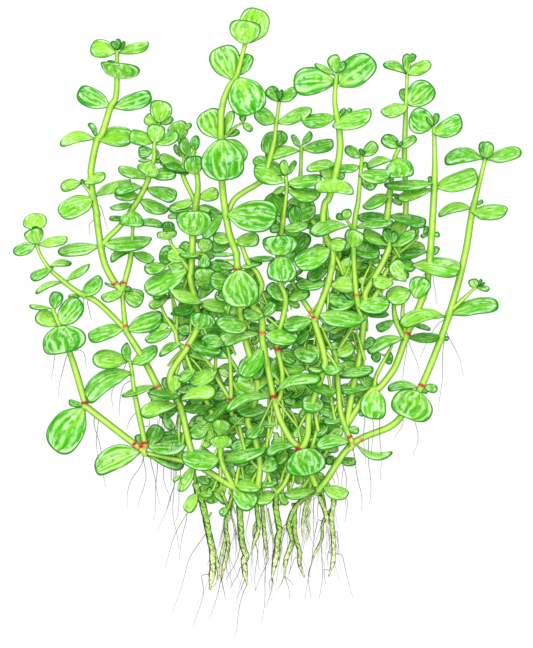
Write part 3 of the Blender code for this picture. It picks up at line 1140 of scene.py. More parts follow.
@dataclass(frozen=True)
class LeafCluster(Piece):
    """The small leaves of a few neighbouring stems."""

    name: str
    stems: tuple[str, ...]
    rows: tuple[SeenLeaf, ...]
    stands_for: tuple[str, ...] = ()
    close: float = 1.8

    def grow(self, shaper: Shaper, thicket: Thicket) -> None:
        """Add the leaves, and a node to the stem of each that sits close on it.

        Args:
            shaper: The mesh in the making.
            thicket: The stems.
        """
        for row in self.rows:
            stalk, arc, point = thicket.carrier(row[0], row[1], self.stems)
            radius = stalk.radius_at(arc)
            blade = Growth().place(row, point, radius, shaper.luck)
            if (blade.base - point).length < radius * self.close:
                stalk.nodes.append(arc)
            BladeMaker().add(shaper, blade)
            TwigMaker().add(shaper, point, radius, blade)


@dataclass(frozen=True)
class BackLeaves(Piece):
    """Small leaves behind the stems, and thin shoots, which close the bunch from behind.

    Each row names a stem, the heights between which it carries them, and their length. The
    ranges are shares of that length, apart from the turns and rolls, which are in degrees, and
    the shoots' radii.
    """

    name: str
    rows: tuple[tuple[str, float, float, float], ...]
    spacing: float = 5.6
    spacing_range: Range = (0.75, 1.25)
    lengths: Place = (0.45, 1.6, 0.8)
    turns: Range = (75, 130)
    roundness: float = 0.7
    width_range: Range = (0.6, 1.3)
    droops: Range = (0.25, 1.1)
    steepest_roll: float = 35
    attach: float = 0.6
    set_back: float = 0.5
    lowest: float = 0.6
    roll_room: float = 0.3
    clear_share: float = 0.42
    fainter: float = 0.1
    tones: tuple[Tone, ...] = (Tone.GREEN, Tone.MINT, Tone.MINT, Tone.LIGHT, Tone.LIGHT)
    shoot_share: float = 0.85
    shoot_lengths: Range = (0.8, 1.9)
    shoot_spreads: Range = (0.25, 0.6)
    shoot_sags: Range = (0.1, 0.25)
    shoot_radii: Range = (0.38, 0.72)
    shoot_curl: float = 0.35
    shoot_shares: tuple[float, ...] = (0.0, 0.35, 0.7, 1.0)
    shoot_sides: int = 8

    def grow(self, shaper: Shaper, thicket: Thicket) -> None:
        """Add pairs of leaves down each stem, most of them with a shoot.

        Args:
            shaper: The mesh in the making.
            thicket: The stems.
        """
        luck = shaper.luck
        for stem, top, bottom, length in self.rows:
            stalk = thicket.by_name[stem]
            arc = luck.uniform(0.0, self.spacing)
            while arc < stalk.course.length:
                point, along = stalk.course.at(arc)
                if bottom <= point.y <= top:
                    for hand in (-1, 1):
                        self.leaf(shaper, point, along, stalk.radius_at(arc), length * hand)
                    if luck.random() < self.shoot_share:
                        self.shoot(shaper, point, along, length)
                arc += self.spacing * luck.uniform(*self.spacing_range)

    def shoot(self, shaper: Shaper, point: Vector, along: Vector, length: float) -> None:
        """Add a thin pale shoot that leaves its stem and hangs beside it.

        Args:
            shaper: The mesh in the making.
            point: The stem's middle.
            along: The way to the stem's foot.
            length: The leaves' usual length.
        """
        luck = shaper.luck
        aside = Vector((-along.y, along.x, 0)) * luck.choice((-1, 1))
        reach = length * luck.uniform(*self.shoot_lengths)
        spread = luck.uniform(*self.shoot_spreads)
        sag = luck.uniform(*self.shoot_sags)
        places = []
        for share in self.shoot_shares:
            out = aside * spread * reach * (share - self.shoot_curl * share * share)
            place = point + along * reach * share + out
            places.append((place.x, place.y, max(self.lowest, place.z - sag * reach * share)))
        thin = Stalk("shoot", luck.uniform(*self.shoot_radii), tuple(reversed(places)))
        radii = [thin.radius_at(arc) for arc in thin.course.arcs]
        marks = {"node": [0.0] * len(radii), "red": [0.0] * len(radii)}
        TubeMaker(sides=self.shoot_sides).add(shaper, thin.course.points, radii, marks, material=1)

    def leaf(
        self, shaper: Shaper, point: Vector, along: Vector, radius: float, length: float
    ) -> None:
        """Add a leaf on one side of the stem, unless it would close an opening in the bunch.

        Args:
            shaper: The mesh in the making.
            point: The stem's middle.
            along: The way to the stem's foot.
            radius: The stem's radius.
            length: The leaves' usual length, below 0 for the leaf on the other side.
        """
        luck = shaper.luck
        turn = math.radians(luck.uniform(*self.turns)) * math.copysign(1, length)
        down = Vector((along.x, along.y, 0)).normalized()
        x = down.x * math.cos(turn) - down.y * math.sin(turn)
        way = Vector((x, down.x * math.sin(turn) + down.y * math.cos(turn), 0))
        reach = abs(length) * luck.triangular(*self.lengths)
        base = point + way * radius * self.attach
        base.z = max(self.lowest, point.z - radius * self.set_back)
        tip = base + way * reach
        tip.z = max(self.lowest, base.z - reach * luck.uniform(*self.droops))
        width = reach * self.roundness * luck.uniform(*self.width_range)
        room = min(1.0, 2 * (min(base.z, tip.z) - self.roll_room) / width)
        roll = luck.uniform(-self.steepest_roll, self.steepest_roll) * room
        tone = luck.choice(self.tones)
        if not self.open_at((base + tip) / 2, reach):
            blade = Blade(base, tip, width, roll, tone, 0)
            BladeMaker(fainter=self.fainter).add(shaper, blade)

    def open_at(self, middle: Vector, reach: float) -> bool:
        """Whether a leaf would close one of the openings in the bunch.

        Args:
            middle: The leaf's middle.
            reach: Its length.

        Returns:
            True where it would.
        """
        return any(
            math.hypot(middle.x - x, middle.y - y) < radius + self.clear_share * reach
            for x, y, radius in OPENINGS
        )


@dataclass(frozen=True)
class BroadLeaf(Piece):
    """One of the large leaves, which has a solid of its own with the same name."""

    name: str
    base: Place
    tip: Place
    width: float
    roll: float
    code: str
    ending: ClassVar[str] = "_blade"

    @property
    def stands_for(self) -> tuple[str, ...]:
        """The solid."""
        return (self.name,)

    @property
    def slot(self) -> str:
        """The name of the record's slot for its kind of leaf."""
        return "plain_leaf" if self.name in PLAIN_NODES else "variegated_leaf"

    def grow(self, shaper: Shaper, thicket: Thicket) -> None:
        """Add the blade, its twig, and a node to its stem.

        Args:
            shaper: The mesh in the making.
            thicket: The stems.
        """
        tone, bow = Tone(self.code[0]), BOWS.get(self.code[-1], 0)
        blade = Blade(Vector(self.base), Vector(self.tip), self.width, self.roll, tone, bow)
        stalk, arc, point = thicket.carrier(self.base[0], self.base[1], ())
        stalk.nodes.append(arc)
        BladeMaker().add(shaper, blade)
        TwigMaker().add(shaper, point, stalk.radius_at(arc), blade)


@dataclass(frozen=True)
class RootingStem:
    """One stem below the crown, which carries hair roots."""

    name: str
    width: float
    code: str
    places: tuple[Place, ...]
    tip_share: float = 0.35
    tip_length: float = 6.0
    fuller: float = 1.02
    lump: float = 0.1
    lump_rates: Range = (1.7, 0.63)
    fading_from: float = 0.38
    fading_over: float = 0.5
    upper_paleness: float = 0.45
    step: float = 0.7

    @property
    def course(self) -> Course:
        """Its line."""
        return Course(self.places, self.step)

    def add_to(self, shaper: Shaper) -> None:
        """Add its skin to a mesh.

        Args:
            shaper: The mesh in the making.
        """
        course = self.course
        phase = random.Random(self.name).uniform(0, math.tau)
        fine, coarse = self.lump_rates
        radii = []
        for arc in course.arcs:
            left = course.length - arc
            share = self.tip_share + (1 - self.tip_share) * eased(left / self.tip_length)
            uneven = 1 + self.lump * math.sin(arc * fine + phase) * math.sin(arc * coarse)
            radii.append(self.width * self.fuller / 2 * share * uneven)
        pale, olive = ROOT_PAINTS[RootTone(self.code)]
        upper = self.upper_paleness
        ends = [
            eased((arc / course.length - self.fading_from) / self.fading_over)
            for arc in course.arcs
        ]
        marks = {
            "paleness": [max(pale * (upper + (1 - upper) * end), end) for end in ends],
            "olive": [olive] * len(radii),
        }
        TubeMaker().add(shaper, course.points, radii, marks)


@dataclass(frozen=True)
class HairRoots(Piece):
    """Hair roots: long grey threads that sink to the surface, and finer ones between them.

    A route with three numbers to a place says how high it hangs, and one with two sinks.
    """

    name: str
    routes: tuple[Route, ...]
    stands_for: tuple[str, ...]
    fine_count: int = 0
    radius: float = 0.145
    fine_radius: float = 0.085
    thinning: float = 0.6
    rest: float = 0.16
    step: float = 1.6
    sides: int = 5
    wander: float = 0.25
    wander_rate: float = 0.35
    wander_from: float = 4.0
    starts: Range = (0.1, 0.85)
    lengths: Range = (5.0, 17.0)
    slant: float = 0.4
    curl: float = 0.1
    upright: float = 2.5
    highest_start: float = 6.0
    touching: float = 0.6
    slot: ClassVar[str] = "root"
    finishes: ClassVar[tuple[Finish, ...]] = (HairFinish(),)

    def grow(self, shaper: Shaper, thicket: Thicket) -> None:
        """Add the threads.

        Args:
            shaper: The mesh in the making.
            thicket: The stems that they spring from.
        """
        rootings = [rooting.course for rooting in ROOTING_STEMS]
        courses = [*rootings, *(stalk.course for stalk in thicket.stalks)]
        carriers = [point for course in courses for point in course.points]
        for route in self.routes:
            self.thread(shaper, self.rooted(route, carriers), self.radius)
        luck = shaper.luck
        for _ in range(self.fine_count):
            course = luck.choice(rootings)
            point = course.at(luck.uniform(*self.starts) * course.length)[0]
            length = luck.uniform(*self.lengths)
            lean = luck.uniform(-self.slant, self.slant)
            curl = luck.uniform(-self.curl, self.curl)
            route = []
            for share in (0.0, 0.5, 1.0):
                across = (lean + curl * share) * length * share
                route.append((point.x + across, point.y - length * share))
            self.thread(shaper, self.sinking(tuple(route), point.z), self.fine_radius)

    def rooted(self, route: Route, carriers: list[Vector]) -> tuple[Place, ...]:
        """A route with its heights, carried up to the nearest stem beside or above its start.

        Args:
            route: What it passes through.
            carriers: Points along all the stems.

        Returns:
            The places.
        """
        x, y = route[0][:2]
        above = [point for point in carriers if point.y > y - self.touching]
        stem = min(above, key=lambda point: math.hypot(self.upright * (point.x - x), point.y - y))
        places = route
        if len(route[0]) == 2:
            places = self.sinking(route, min(self.highest_start, stem.z))
        if math.hypot(stem.x - x, stem.y - y) > self.touching:
            places = (tuple(stem), *places)
        return places

    def sinking(self, route: Route, start: float) -> tuple[Place, ...]:
        """A route that sinks to the surface.

        Args:
            route: What it passes through, seen from above.
            start: How high it starts.

        Returns:
            The places.
        """
        places = []
        for index, (x, y) in enumerate(route):
            share = index / (len(route) - 1)
            places.append((x, y, self.rest + (start - self.rest) * (1 - share) ** 3))
        return tuple(places)

    def thread(self, shaper: Shaper, places: tuple[Place, ...], radius: float) -> None:
        """Add one thread.

        Args:
            shaper: The mesh in the making.
            places: What it passes through.
            radius: Its radius where it starts.
        """
        course = Course(places, self.step)
        phase = shaper.luck.uniform(0, math.tau)
        points, radii = [], []
        for point, arc in zip(course.points, course.arcs):
            share = min(1.0, arc / self.wander_from)
            offset = self.wander * math.sin(arc * self.wander_rate + phase) * share
            points.append(Vector((point.x + offset, point.y, max(point.z, self.rest))))
            radii.append(radius * (1 - self.thinning * arc / course.length))
        TubeMaker(sides=self.sides).add(shaper, points, radii, {})


@dataclass(frozen=True)
class Studio:
    """The pale floor, the soft light and the camera straight above."""

    floor_size: float = 30.0
    frame_height: float = 220.32
    middle: Place = (-0.17, 0.13, 12.0)
    lens: float = 400.0
    sensor: float = 36.0
    sky: Colour = (1.0, 1.0, 1.0)
    sky_strength: float = 1.25
    sun_strength: float = 0.9
    sun_spread: float = 50.0
    sun_turn: Place = (-28.0, -22.0, 0.0)

    def build(self) -> None:
        """Set the studio up."""
        bpy.ops.mesh.primitive_plane_add(size=self.floor_size, location=(0, 0, 0))
        floor = bpy.context.object
        floor.name = "studio_floor"
        floor.data.materials.append(material_of(FloorFinish()))
        self.light()
        self.camera()

    def light(self) -> None:
        """Light it evenly from all round, with a soft sun from the upper left."""
        world = bpy.data.worlds.new("studio_light")
        world.use_nodes = True
        sky = world.node_tree.nodes["Background"]
        sky.inputs["Color"].default_value = (*self.sky, 1.0)
        sky.inputs["Strength"].default_value = self.sky_strength
        bpy.context.scene.world = world
        lamp = bpy.data.lights.new("soft_sun", "SUN")
        lamp.energy = self.sun_strength
        lamp.angle = math.radians(self.sun_spread)
        sun = bpy.data.objects.new("soft_sun", lamp)
        sun.rotation_euler = [math.radians(turn) for turn in self.sun_turn]
        bpy.context.scene.collection.objects.link(sun)

    def camera(self) -> None:
        """Look straight down with a long lens."""
        lens = bpy.data.cameras.new("above")
        lens.lens = self.lens
        lens.sensor_width = self.sensor
        eye = bpy.data.objects.new("above", lens)
        away = Vector((0, 0, self.frame_height * self.lens / self.sensor))
        eye.location = (Vector(self.middle) + away) * MM
        bpy.context.scene.collection.objects.link(eye)
        bpy.context.scene.camera = eye
        bpy.context.scene.view_settings.view_transform = "Standard"


RED_REACH = 0.95
PLAIN_NODES = ("leaf_left_centre_front", "leaf_centre_short_front", "leaf_left_upper_tip")
STALKS = (
    Stalk("stem_left_outer", 1.15, (
        (-51, 200.5, 9.5), (-51.3, 186, 9.4), (-53.3, 181.5, 9.3), (-56, 173, 9.1), (-58, 169.8, 9.1),
        (-59.8, 161, 8.9), (-59.8, 157.5, 8.9), (-59.3, 151.3, 8.7), (-57.7, 144.5, 8.6),
        (-58.2, 146, 8.6), (-56, 131, 8.3), (-53.2, 124, 8.2), (-49.9, 119.5, 8), (-49.2, 117.8, 8),
    )),
    Stalk("stem_left_lower", 1.15, (
        (-49.9, 119.5, 8), (-49.6, 120, 8), (-48.2, 106.8, 8.2), (-47.3, 104.3, 8.4), (-41.7, 95.3, 9.4),
        (-36.6, 85.5, 10.6), (-33.4, 82.4, 10.6),
    )),
    Stalk("stem_left_corner", 1.15, (
        (-73, 113, 9), (-66.8, 97, 8.3), (-61.9, 80.8, 7.4), (-61, 79.2, 7.4), (-41.9, 64.4, 7),
    )),
    Stalk("runner_left", 1.15, (
        (-43, 65, 7), (-40, 63.6, 7.1), (-27, 60.8, 8), (-22.8, 59.2, 8.5), (-11.6, 52.2, 9.6),
    )),
    Stalk("stem_left_centre", 1.15, (
        (-24.5, 166.5, 15), (-25, 164.5, 15.1), (-23.4, 155, 15.5), (-24.8, 143, 15.9), (-25.8, 125, 16),
        (-26.3, 124, 16), (-23.4, 109, 15.4), (-26.6, 100.5, 14.3), (-33, 89.5, 12.7),
        (-29.2, 78.8, 11.4), (-26.3, 66.5, 10), (-24, 59.8, 9.4),
    )),
    Stalk("stem_centre_tall", 1.15, (
        (-7.5, 202.3, 20), (-10.3, 191.8, 20.5), (-12.4, 189, 20.9), (-14.2, 185, 21.5), (-15.2, 181, 22),
        (-15.6, 177, 22.4), (-15.5, 164, 23.6), (-15, 153, 24), (-12.9, 139, 24), (-10.6, 132.5, 24),
        (-10.2, 129.5, 24), (-8.8, 110.5, 22.3), (-7.2, 102, 20.9), (-3.6, 89.5, 18.5), (-3.2, 86, 17.6),
        (-4.5, 80, 16), (-6.5, 75.5, 14.9), (-6, 73, 14.3), (-5, 71.5, 13.9), (-3.6, 67, 12.8),
        (-2.4, 60, 11.1), (-3.2, 51.5, 9.6),
    )),
    Stalk("stem_centre_front", 1.15, (
        (-10.6, 136.2, 24), (-10, 135, 24), (-8.6, 134.2, 24), (-6.4, 128.7, 23.7), (-3.7, 125.5, 23.5),
        (-2.4, 122.8, 23.3), (-2, 120, 23), (-4.8, 114, 22.6), (-3.3, 112.6, 22.5), (-1.7, 108.5, 22.3),
        (-1.3, 101, 21.6), (1.5, 86.5, 19.5), (3, 80, 18.1), (4.7, 74.9, 17), (8.1, 68.6, 15.4),
        (11.4, 64.8, 14.3), (16.6, 53, 12),
    )),
    Stalk("stem_right_tall", 1.15, (
        (23.6, 192.3, 18), (23, 183, 18.5), (24.6, 172.5, 19.3), (24.4, 164, 19.7), (21.2, 151, 20.2),
        (19.8, 149, 20.3), (19, 143.5, 20.5), (20, 137, 20.8), (22.3, 132, 21), (20.8, 122, 21),
        (16.5, 110, 20.5), (16.3, 108, 20.4), (18.6, 100.5, 19.8), (19.3, 97, 19.6), (19.4, 93, 19.1),
        (14.5, 78, 16.8), (13.9, 70.5, 15.6), (12.2, 66, 15), (11, 64.4, 15),
    )),
    Stalk("stem_right_short", 1.15, (
        (44.8, 167.5, 12), (43, 162, 12.3), (40.6, 141, 13), (41.4, 134.5, 13.2), (40.4, 131, 13.3),
        (38.5, 127, 13.4), (34.3, 120, 13.6), (33.3, 117.5, 13.6), (33.4, 113, 13.7), (31, 93.5, 13.8),
        (29.6, 88, 13.8), (27, 73, 13.8),
    )),
    Stalk("stem_right_middle", 1.15, (
        (56.8, 174.5, 13), (57, 160, 12.9), (56.3, 143.5, 12.4), (54.9, 125, 12), (53.2, 117.5, 12),
        (47.5, 104, 12.1), (44.5, 95.5, 12.6), (42.5, 91.5, 12.8), (38, 86, 13.2), (35, 85, 13.3),
        (28, 75, 13.5), (26.8, 72, 13.5),
    )),
    Stalk("stem_right_outer", 1.15, (
        (74.2, 163.6, 9), (69.8, 145.5, 9.7), (67.7, 133, 10.1), (64.2, 118.5, 10.5), (59, 102.5, 10.9),
        (51.8, 85, 11.4), (46.5, 77.5, 12.1), (41.6, 72.8, 12.8), (29, 67, 14), (20, 54.5, 11.7),
        (17.4, 51.2, 11.6),
    )),
    Stalk("stem_left_inner", 0.95, (
        (-36.8, 175.6, 15), (-38.2, 169, 14.7), (-38.3, 165, 14.6), (-38.9, 162, 14.3),
        (-41.7, 153.8, 13.3), (-48.8, 142.6, 10.6), (-54.5, 136.7, 8.7), (-56.6, 133.4, 8.6),
    )),
    Stalk("stem_left_side", 0.95, (
        (-45.6, 141, 12), (-46.3, 131, 10.3), (-48.2, 123, 8.5), (-49.6, 118.6, 8.2),
    )),
    Stalk("runner_left_upper", 0.95, (
        (-78.4, 134.6, 7), (-77.3, 131.5, 7.1), (-75.5, 128.5, 7.2), (-72.5, 125, 7.3),
        (-64.8, 118.9, 7.6), (-57.5, 115, 7.8), (-47.9, 105.6, 8),
    )),
    Stalk("stem_left_short", 0.95, (
        (-47.2, 96, 10), (-46.3, 93.8, 9.8), (-45, 84, 8.9), (-42.1, 69.7, 7.6), (-41.5, 66, 7.4),
        (-42, 64.4, 7.4), (-41.4, 63.2, 7.4),
    )),
    Stalk("stem_centre_back", 0.95, (
        (4.1, 183, 13), (2.8, 173, 14.5), (2.3, 169, 15.6), (-0.8, 157.9, 18.9), (-3.5, 155.1, 20),
        (-8, 152.4, 21.5), (-11.3, 149.6, 22.6), (-13.8, 144.2, 22.6),
    )),
    Stalk("stem_centre_short", 0.95, (
        (6.4, 158, 18), (6.6, 152, 19.1), (4.4, 135, 21), (3.9, 130, 21.1), (4.3, 122.3, 21.2),
        (6.3, 115.5, 20.9), (3.6, 102.5, 20.1), (3.5, 99.5, 19.8), (5.2, 91, 18.8), (4.6, 84, 18.4),
        (3.2, 80.5, 18.4),
    )),
    Stalk("stem_centre_slim", 0.95, (
        (11.7, 168, 12), (11.3, 154, 12.6), (11.9, 149.5, 13), (15, 143.3, 13.6), (22.8, 134.3, 14.7),
        (24.6, 131.5, 15), (23.3, 119.5, 15.2), (19.3, 105.5, 15.4), (22.5, 99, 15.4), (23.6, 94, 15.3),
        (25, 78, 14.8), (28.8, 67.6, 14.6), (28.2, 65.4, 14.6),
    )),
    Stalk("stem_right_inner", 0.95, (
        (32.2, 164.5, 16), (31, 150, 16), (29.9, 143.5, 16), (29.3, 133, 16), (30.4, 117.5, 15.2),
        (32.2, 109.5, 14.6),
    )),
    Stalk("stem_right_back", 0.95, (
        (47.7, 192.3, 9), (46.8, 166, 9), (47.3, 152, 9.3), (47.1, 144.5, 9.7), (46.4, 139.3, 10.1),
        (45.5, 135.5, 10.4), (42.5, 128, 11.7), (40.5, 125.5, 12.2), (38, 119.5, 13.2),
        (34.4, 113.6, 13.6),
    )),
    Stalk("left_outer_spur", 0.7, ((-62.8, 155.5, 9.6), (-60.5, 153, 9.1), (-59.6, 150.6, 8.8))),
    Stalk("left_upper_shoot", 0.8, (
        (-30, 170.5, 11), (-28.2, 163.5, 12), (-28.6, 158.5, 13.1), (-24.8, 150, 15),
        (-24.4, 147.4, 15.6),
    )),
    Stalk("left_middle_shoot", 0.85, (
        (-33, 136.5, 13.5), (-31.8, 133.8, 13.9), (-26.5, 126.5, 15.2), (-25.6, 124.5, 15.5),
        (-25.6, 122.6, 15.8),
    )),
    Stalk("left_low_shoot", 0.8, (
        (-36.2, 114.5, 11.5), (-34.3, 110, 12), (-31.3, 105.6, 12.5), (-30.3, 101.3, 13.3),
        (-28.3, 99.8, 13.7), (-27.4, 98.4, 14),
    )),
    Stalk("left_low_back_shoot", 0.6, (
        (-33.3, 118.7, 11.5), (-32, 116.5, 11.7), (-31, 113.3, 11.9), (-30.5, 110, 12.1),
        (-30.9, 104.4, 12.4),
    )),
    Stalk("left_crown_shoot", 1.0, (
        (-28, 98.8, 13.6), (-25.3, 91.5, 13.3), (-18.5, 77, 12.5), (-16, 70, 12), (-15.4, 61, 10.8),
        (-10.9, 51.4, 9.4),
    )),
    Stalk("left_thin_shoot", 0.45, (
        (-17, 76, 10), (-19.5, 72.5, 9.8), (-22, 67, 9.4), (-24.6, 57, 9.2), (-23.8, 50.5, 9),
    )),
    Stalk("centre_left_back_shoot", 0.7, (
        (-18.8, 105, 11.5), (-16.2, 100.5, 11.4), (-17.5, 95.5, 11.3), (-16.8, 90, 11.2), (-13.2, 83, 11),
        (-10.5, 72.5, 10.6), (-8.5, 67.3, 10.4), (-10.6, 53.2, 9.6),
    )),
    Stalk("centre_left_shoot", 0.85, (
        (-14.2, 103, 15), (-12.6, 96, 14.8), (-12.2, 85, 13.4), (-12.4, 79, 12.2), (-11.4, 75.6, 11.2),
    )),
    Stalk("tall_spur", 0.65, ((-8.6, 175.8, 20.5), (-11, 174.3, 21.2), (-15.2, 170.2, 22.6))),
    Stalk("centre_right_shoot", 0.9, ((8.8, 131, 17), (8.3, 122.8, 18), (16.4, 109.4, 20))),
    Stalk("right_thin_shoot", 0.7, ((27.8, 127, 17), (23.2, 116.6, 15.4))),
    Stalk("right_low_spur", 0.6, ((28.5, 106.5, 13.5), (25, 100.8, 14.5), (23.6, 97.4, 15))),
    Stalk("right_low_back_spur", 0.5, ((29, 105.5, 12.5), (31.2, 97.4, 13.8))),
    Stalk("right_inner_spur", 0.6, ((26.9, 143.3, 16.8), (29.7, 139, 16))),
    Stalk("right_back_spur", 0.7, ((51.5, 137.8, 10.4), (50, 136, 10.5), (43.6, 131, 11))),
    Stalk("right_short_spur", 0.6, (
        (35, 127.5, 13), (33.3, 124, 13.2), (32.3, 120, 13.4), (33.4, 116, 13.6),
    )),
    Stalk("right_cross_spur", 0.8, ((44, 124, 13.4), (40, 122, 13.1), (38.6, 120.6, 12.9))),
    Stalk("right_back_low_shoot", 0.95, ((43, 118.4, 10.6), (43.6, 110, 11.4), (47, 102, 12.2))),
    Stalk("right_back_low_spur", 0.75, ((46.7, 118.2, 11), (46.1, 110.5, 11.7), (47.6, 103, 12.2))),
    Stalk("right_middle_low_shoot", 0.75, (
        (42.5, 100.5, 13.6), (38, 92, 13.4), (36.8, 89, 13.4), (36.4, 86, 13.3), (35.4, 85.4, 13.3),
    )),
    Stalk("right_outer_spur", 0.75, ((71, 120.3, 10.8), (62.6, 112.4, 10.8))),
    Stalk("centre_low_back_shoot", 0.8, ((18, 78, 14.4), (16.3, 69.5, 14), (13.8, 61.6, 13.6))),
    Stalk("centre_low_side_shoot", 0.6, ((24.5, 72.8, 13), (14.4, 64.6, 13.6))),
    Stalk("centre_low_thin_shoot", 0.6, (
        (21, 90.6, 13.6), (23, 76, 14.2), (25.3, 74.3, 14.3), (26.6, 72.6, 14.4),
    )),
    Stalk("crown_right_spur", 0.7, ((15.8, 59.6, 12.4), (17.2, 51.5, 10.6))),
    Stalk("crown_middle_spur", 0.9, ((8.8, 60.4, 12), (6, 53.5, 10.3), (3.3, 50.5, 9.4))),
    Stalk("crown_middle_back_spur", 0.7, ((-0.4, 60, 11), (1.5, 53, 10), (3.3, 50.8, 9.6))),
    Stalk("centre_front_thin_spur", 0.5, ((0.8, 80, 14), (-4, 70, 12.9), (-4.6, 67.6, 12.6))),
    Stalk("centre_front_back_spur", 0.8, ((1.8, 78.5, 15), (0.3, 70, 13.1), (0, 62, 11.4))),
    Stalk("centre_front_right_spur", 0.6, (
        (5, 81, 14), (7.5, 78.5, 14), (9.5, 75.5, 14.1), (11.9, 66.4, 14.2),
    )),
    Stalk("centre_front_left_rootlet", 0.42, ((1.7, 82.2, 20.6), (-3.9, 69.9, 14))),
    Stalk("centre_front_right_rootlet", 0.42, ((3.2, 82.2, 20.6), (10.5, 72.6, 15))),
    Stalk("centre_right_left_rootlet", 0.42, ((15.2, 107.5, 20.6), (12.5, 99.6, 17))),
    Stalk("centre_right_right_rootlet", 0.42, ((18.1, 107.5, 20.6), (21.9, 99.3, 18))),
    Stalk("centre_thin_shoot", 0.4, ((14.1, 100.8, 18), (13.8, 96.7, 17.5), (13.4, 92, 16))),
    Stalk("centre_left_thin_shoot", 0.4, ((-2.4, 100.1, 19.6), (-5.1, 88.6, 16))),
    Stalk("left_red_node_shoot", 0.85, ((-18.9, 92.2, 13.5), (-12.6, 82.2, 12.5))),
    Stalk("left_cross_shoot", 0.55, ((-22.6, 97.8, 14), (-18.5, 93, 13))),
    Stalk("centre_hanging_shoot", 0.62, ((1.9, 81.2, 16.6), (-0.4, 64.6, 13))),
    Stalk("centre_slanting_shoot", 0.55, ((-6.4, 76.5, 13), (-5.6, 73.6, 12.6), (-3.2, 68.6, 12))),
    Stalk("crown_left_strip", 0.6, ((-6.3, 62.2, 11.6), (-2.2, 57.8, 10.8))),
    Stalk("crown_pale_strips_left", 0.5, (
        (11.6, 70.2, 13.8), (9.6, 60.8, 12.4), (8.9, 54.5, 11), (7.8, 51.2, 10),
    )),
    Stalk("crown_pale_strips_middle", 0.5, ((6.6, 64.8, 11.8), (6.4, 60.2, 11.2), (3.9, 51.6, 9.4))),
    Stalk("crown_pale_strips_right", 0.55, (
        (20.4, 72.8, 14.4), (17.3, 61.8, 12.9), (15.4, 55.4, 11.6), (14.6, 51.6, 10.4),
    )),
    Stalk("crown_wide_strip", 0.75, ((24.2, 71.2, 13.4), (18.4, 61.4, 12.3), (12.4, 52.4, 10.6))),
    Stalk("crown_low_strip_left", 0.45, ((-14.6, 58.6, 9.4), (-16.8, 55.2, 9), (-18.4, 51.2, 8.8))),
    Stalk("centre_pale_shoot_upper", 0.55, ((-9.6, 93.6, 14.2), (-5.6, 84.4, 13.4))),
    Stalk("centre_pale_shoot_lower", 0.7, ((-10.9, 77, 13), (-9.4, 73, 12.6), (-7.4, 64.4, 11.8))),
    Stalk("centre_low_left_shoot", 0.5, (
        (1.8, 78.4, 15.6), (2, 74, 14.8), (1, 69.6, 14), (-1.6, 65.2, 12.8),
    )),
    Stalk("centre_right_thin_shoot", 0.5, ((29.4, 107, 16.6), (24.8, 99.8, 16.2))),
    Stalk("right_pale_shoot", 0.6, ((30.4, 105.4, 15.6), (33.2, 95.6, 14.8))),
    Stalk("centre_upper_pale_shoot", 0.5, ((14.2, 99.6, 17), (14, 92.4, 16.4))),
    Stalk("right_low_pale_shoot", 0.7, ((14.9, 84.8, 16.6), (17.4, 71.6, 15.2))),
    Stalk("crown_low_strip_middle", 0.45, ((1.2, 60.4, 10.4), (-1.2, 51.2, 9.2))),
)
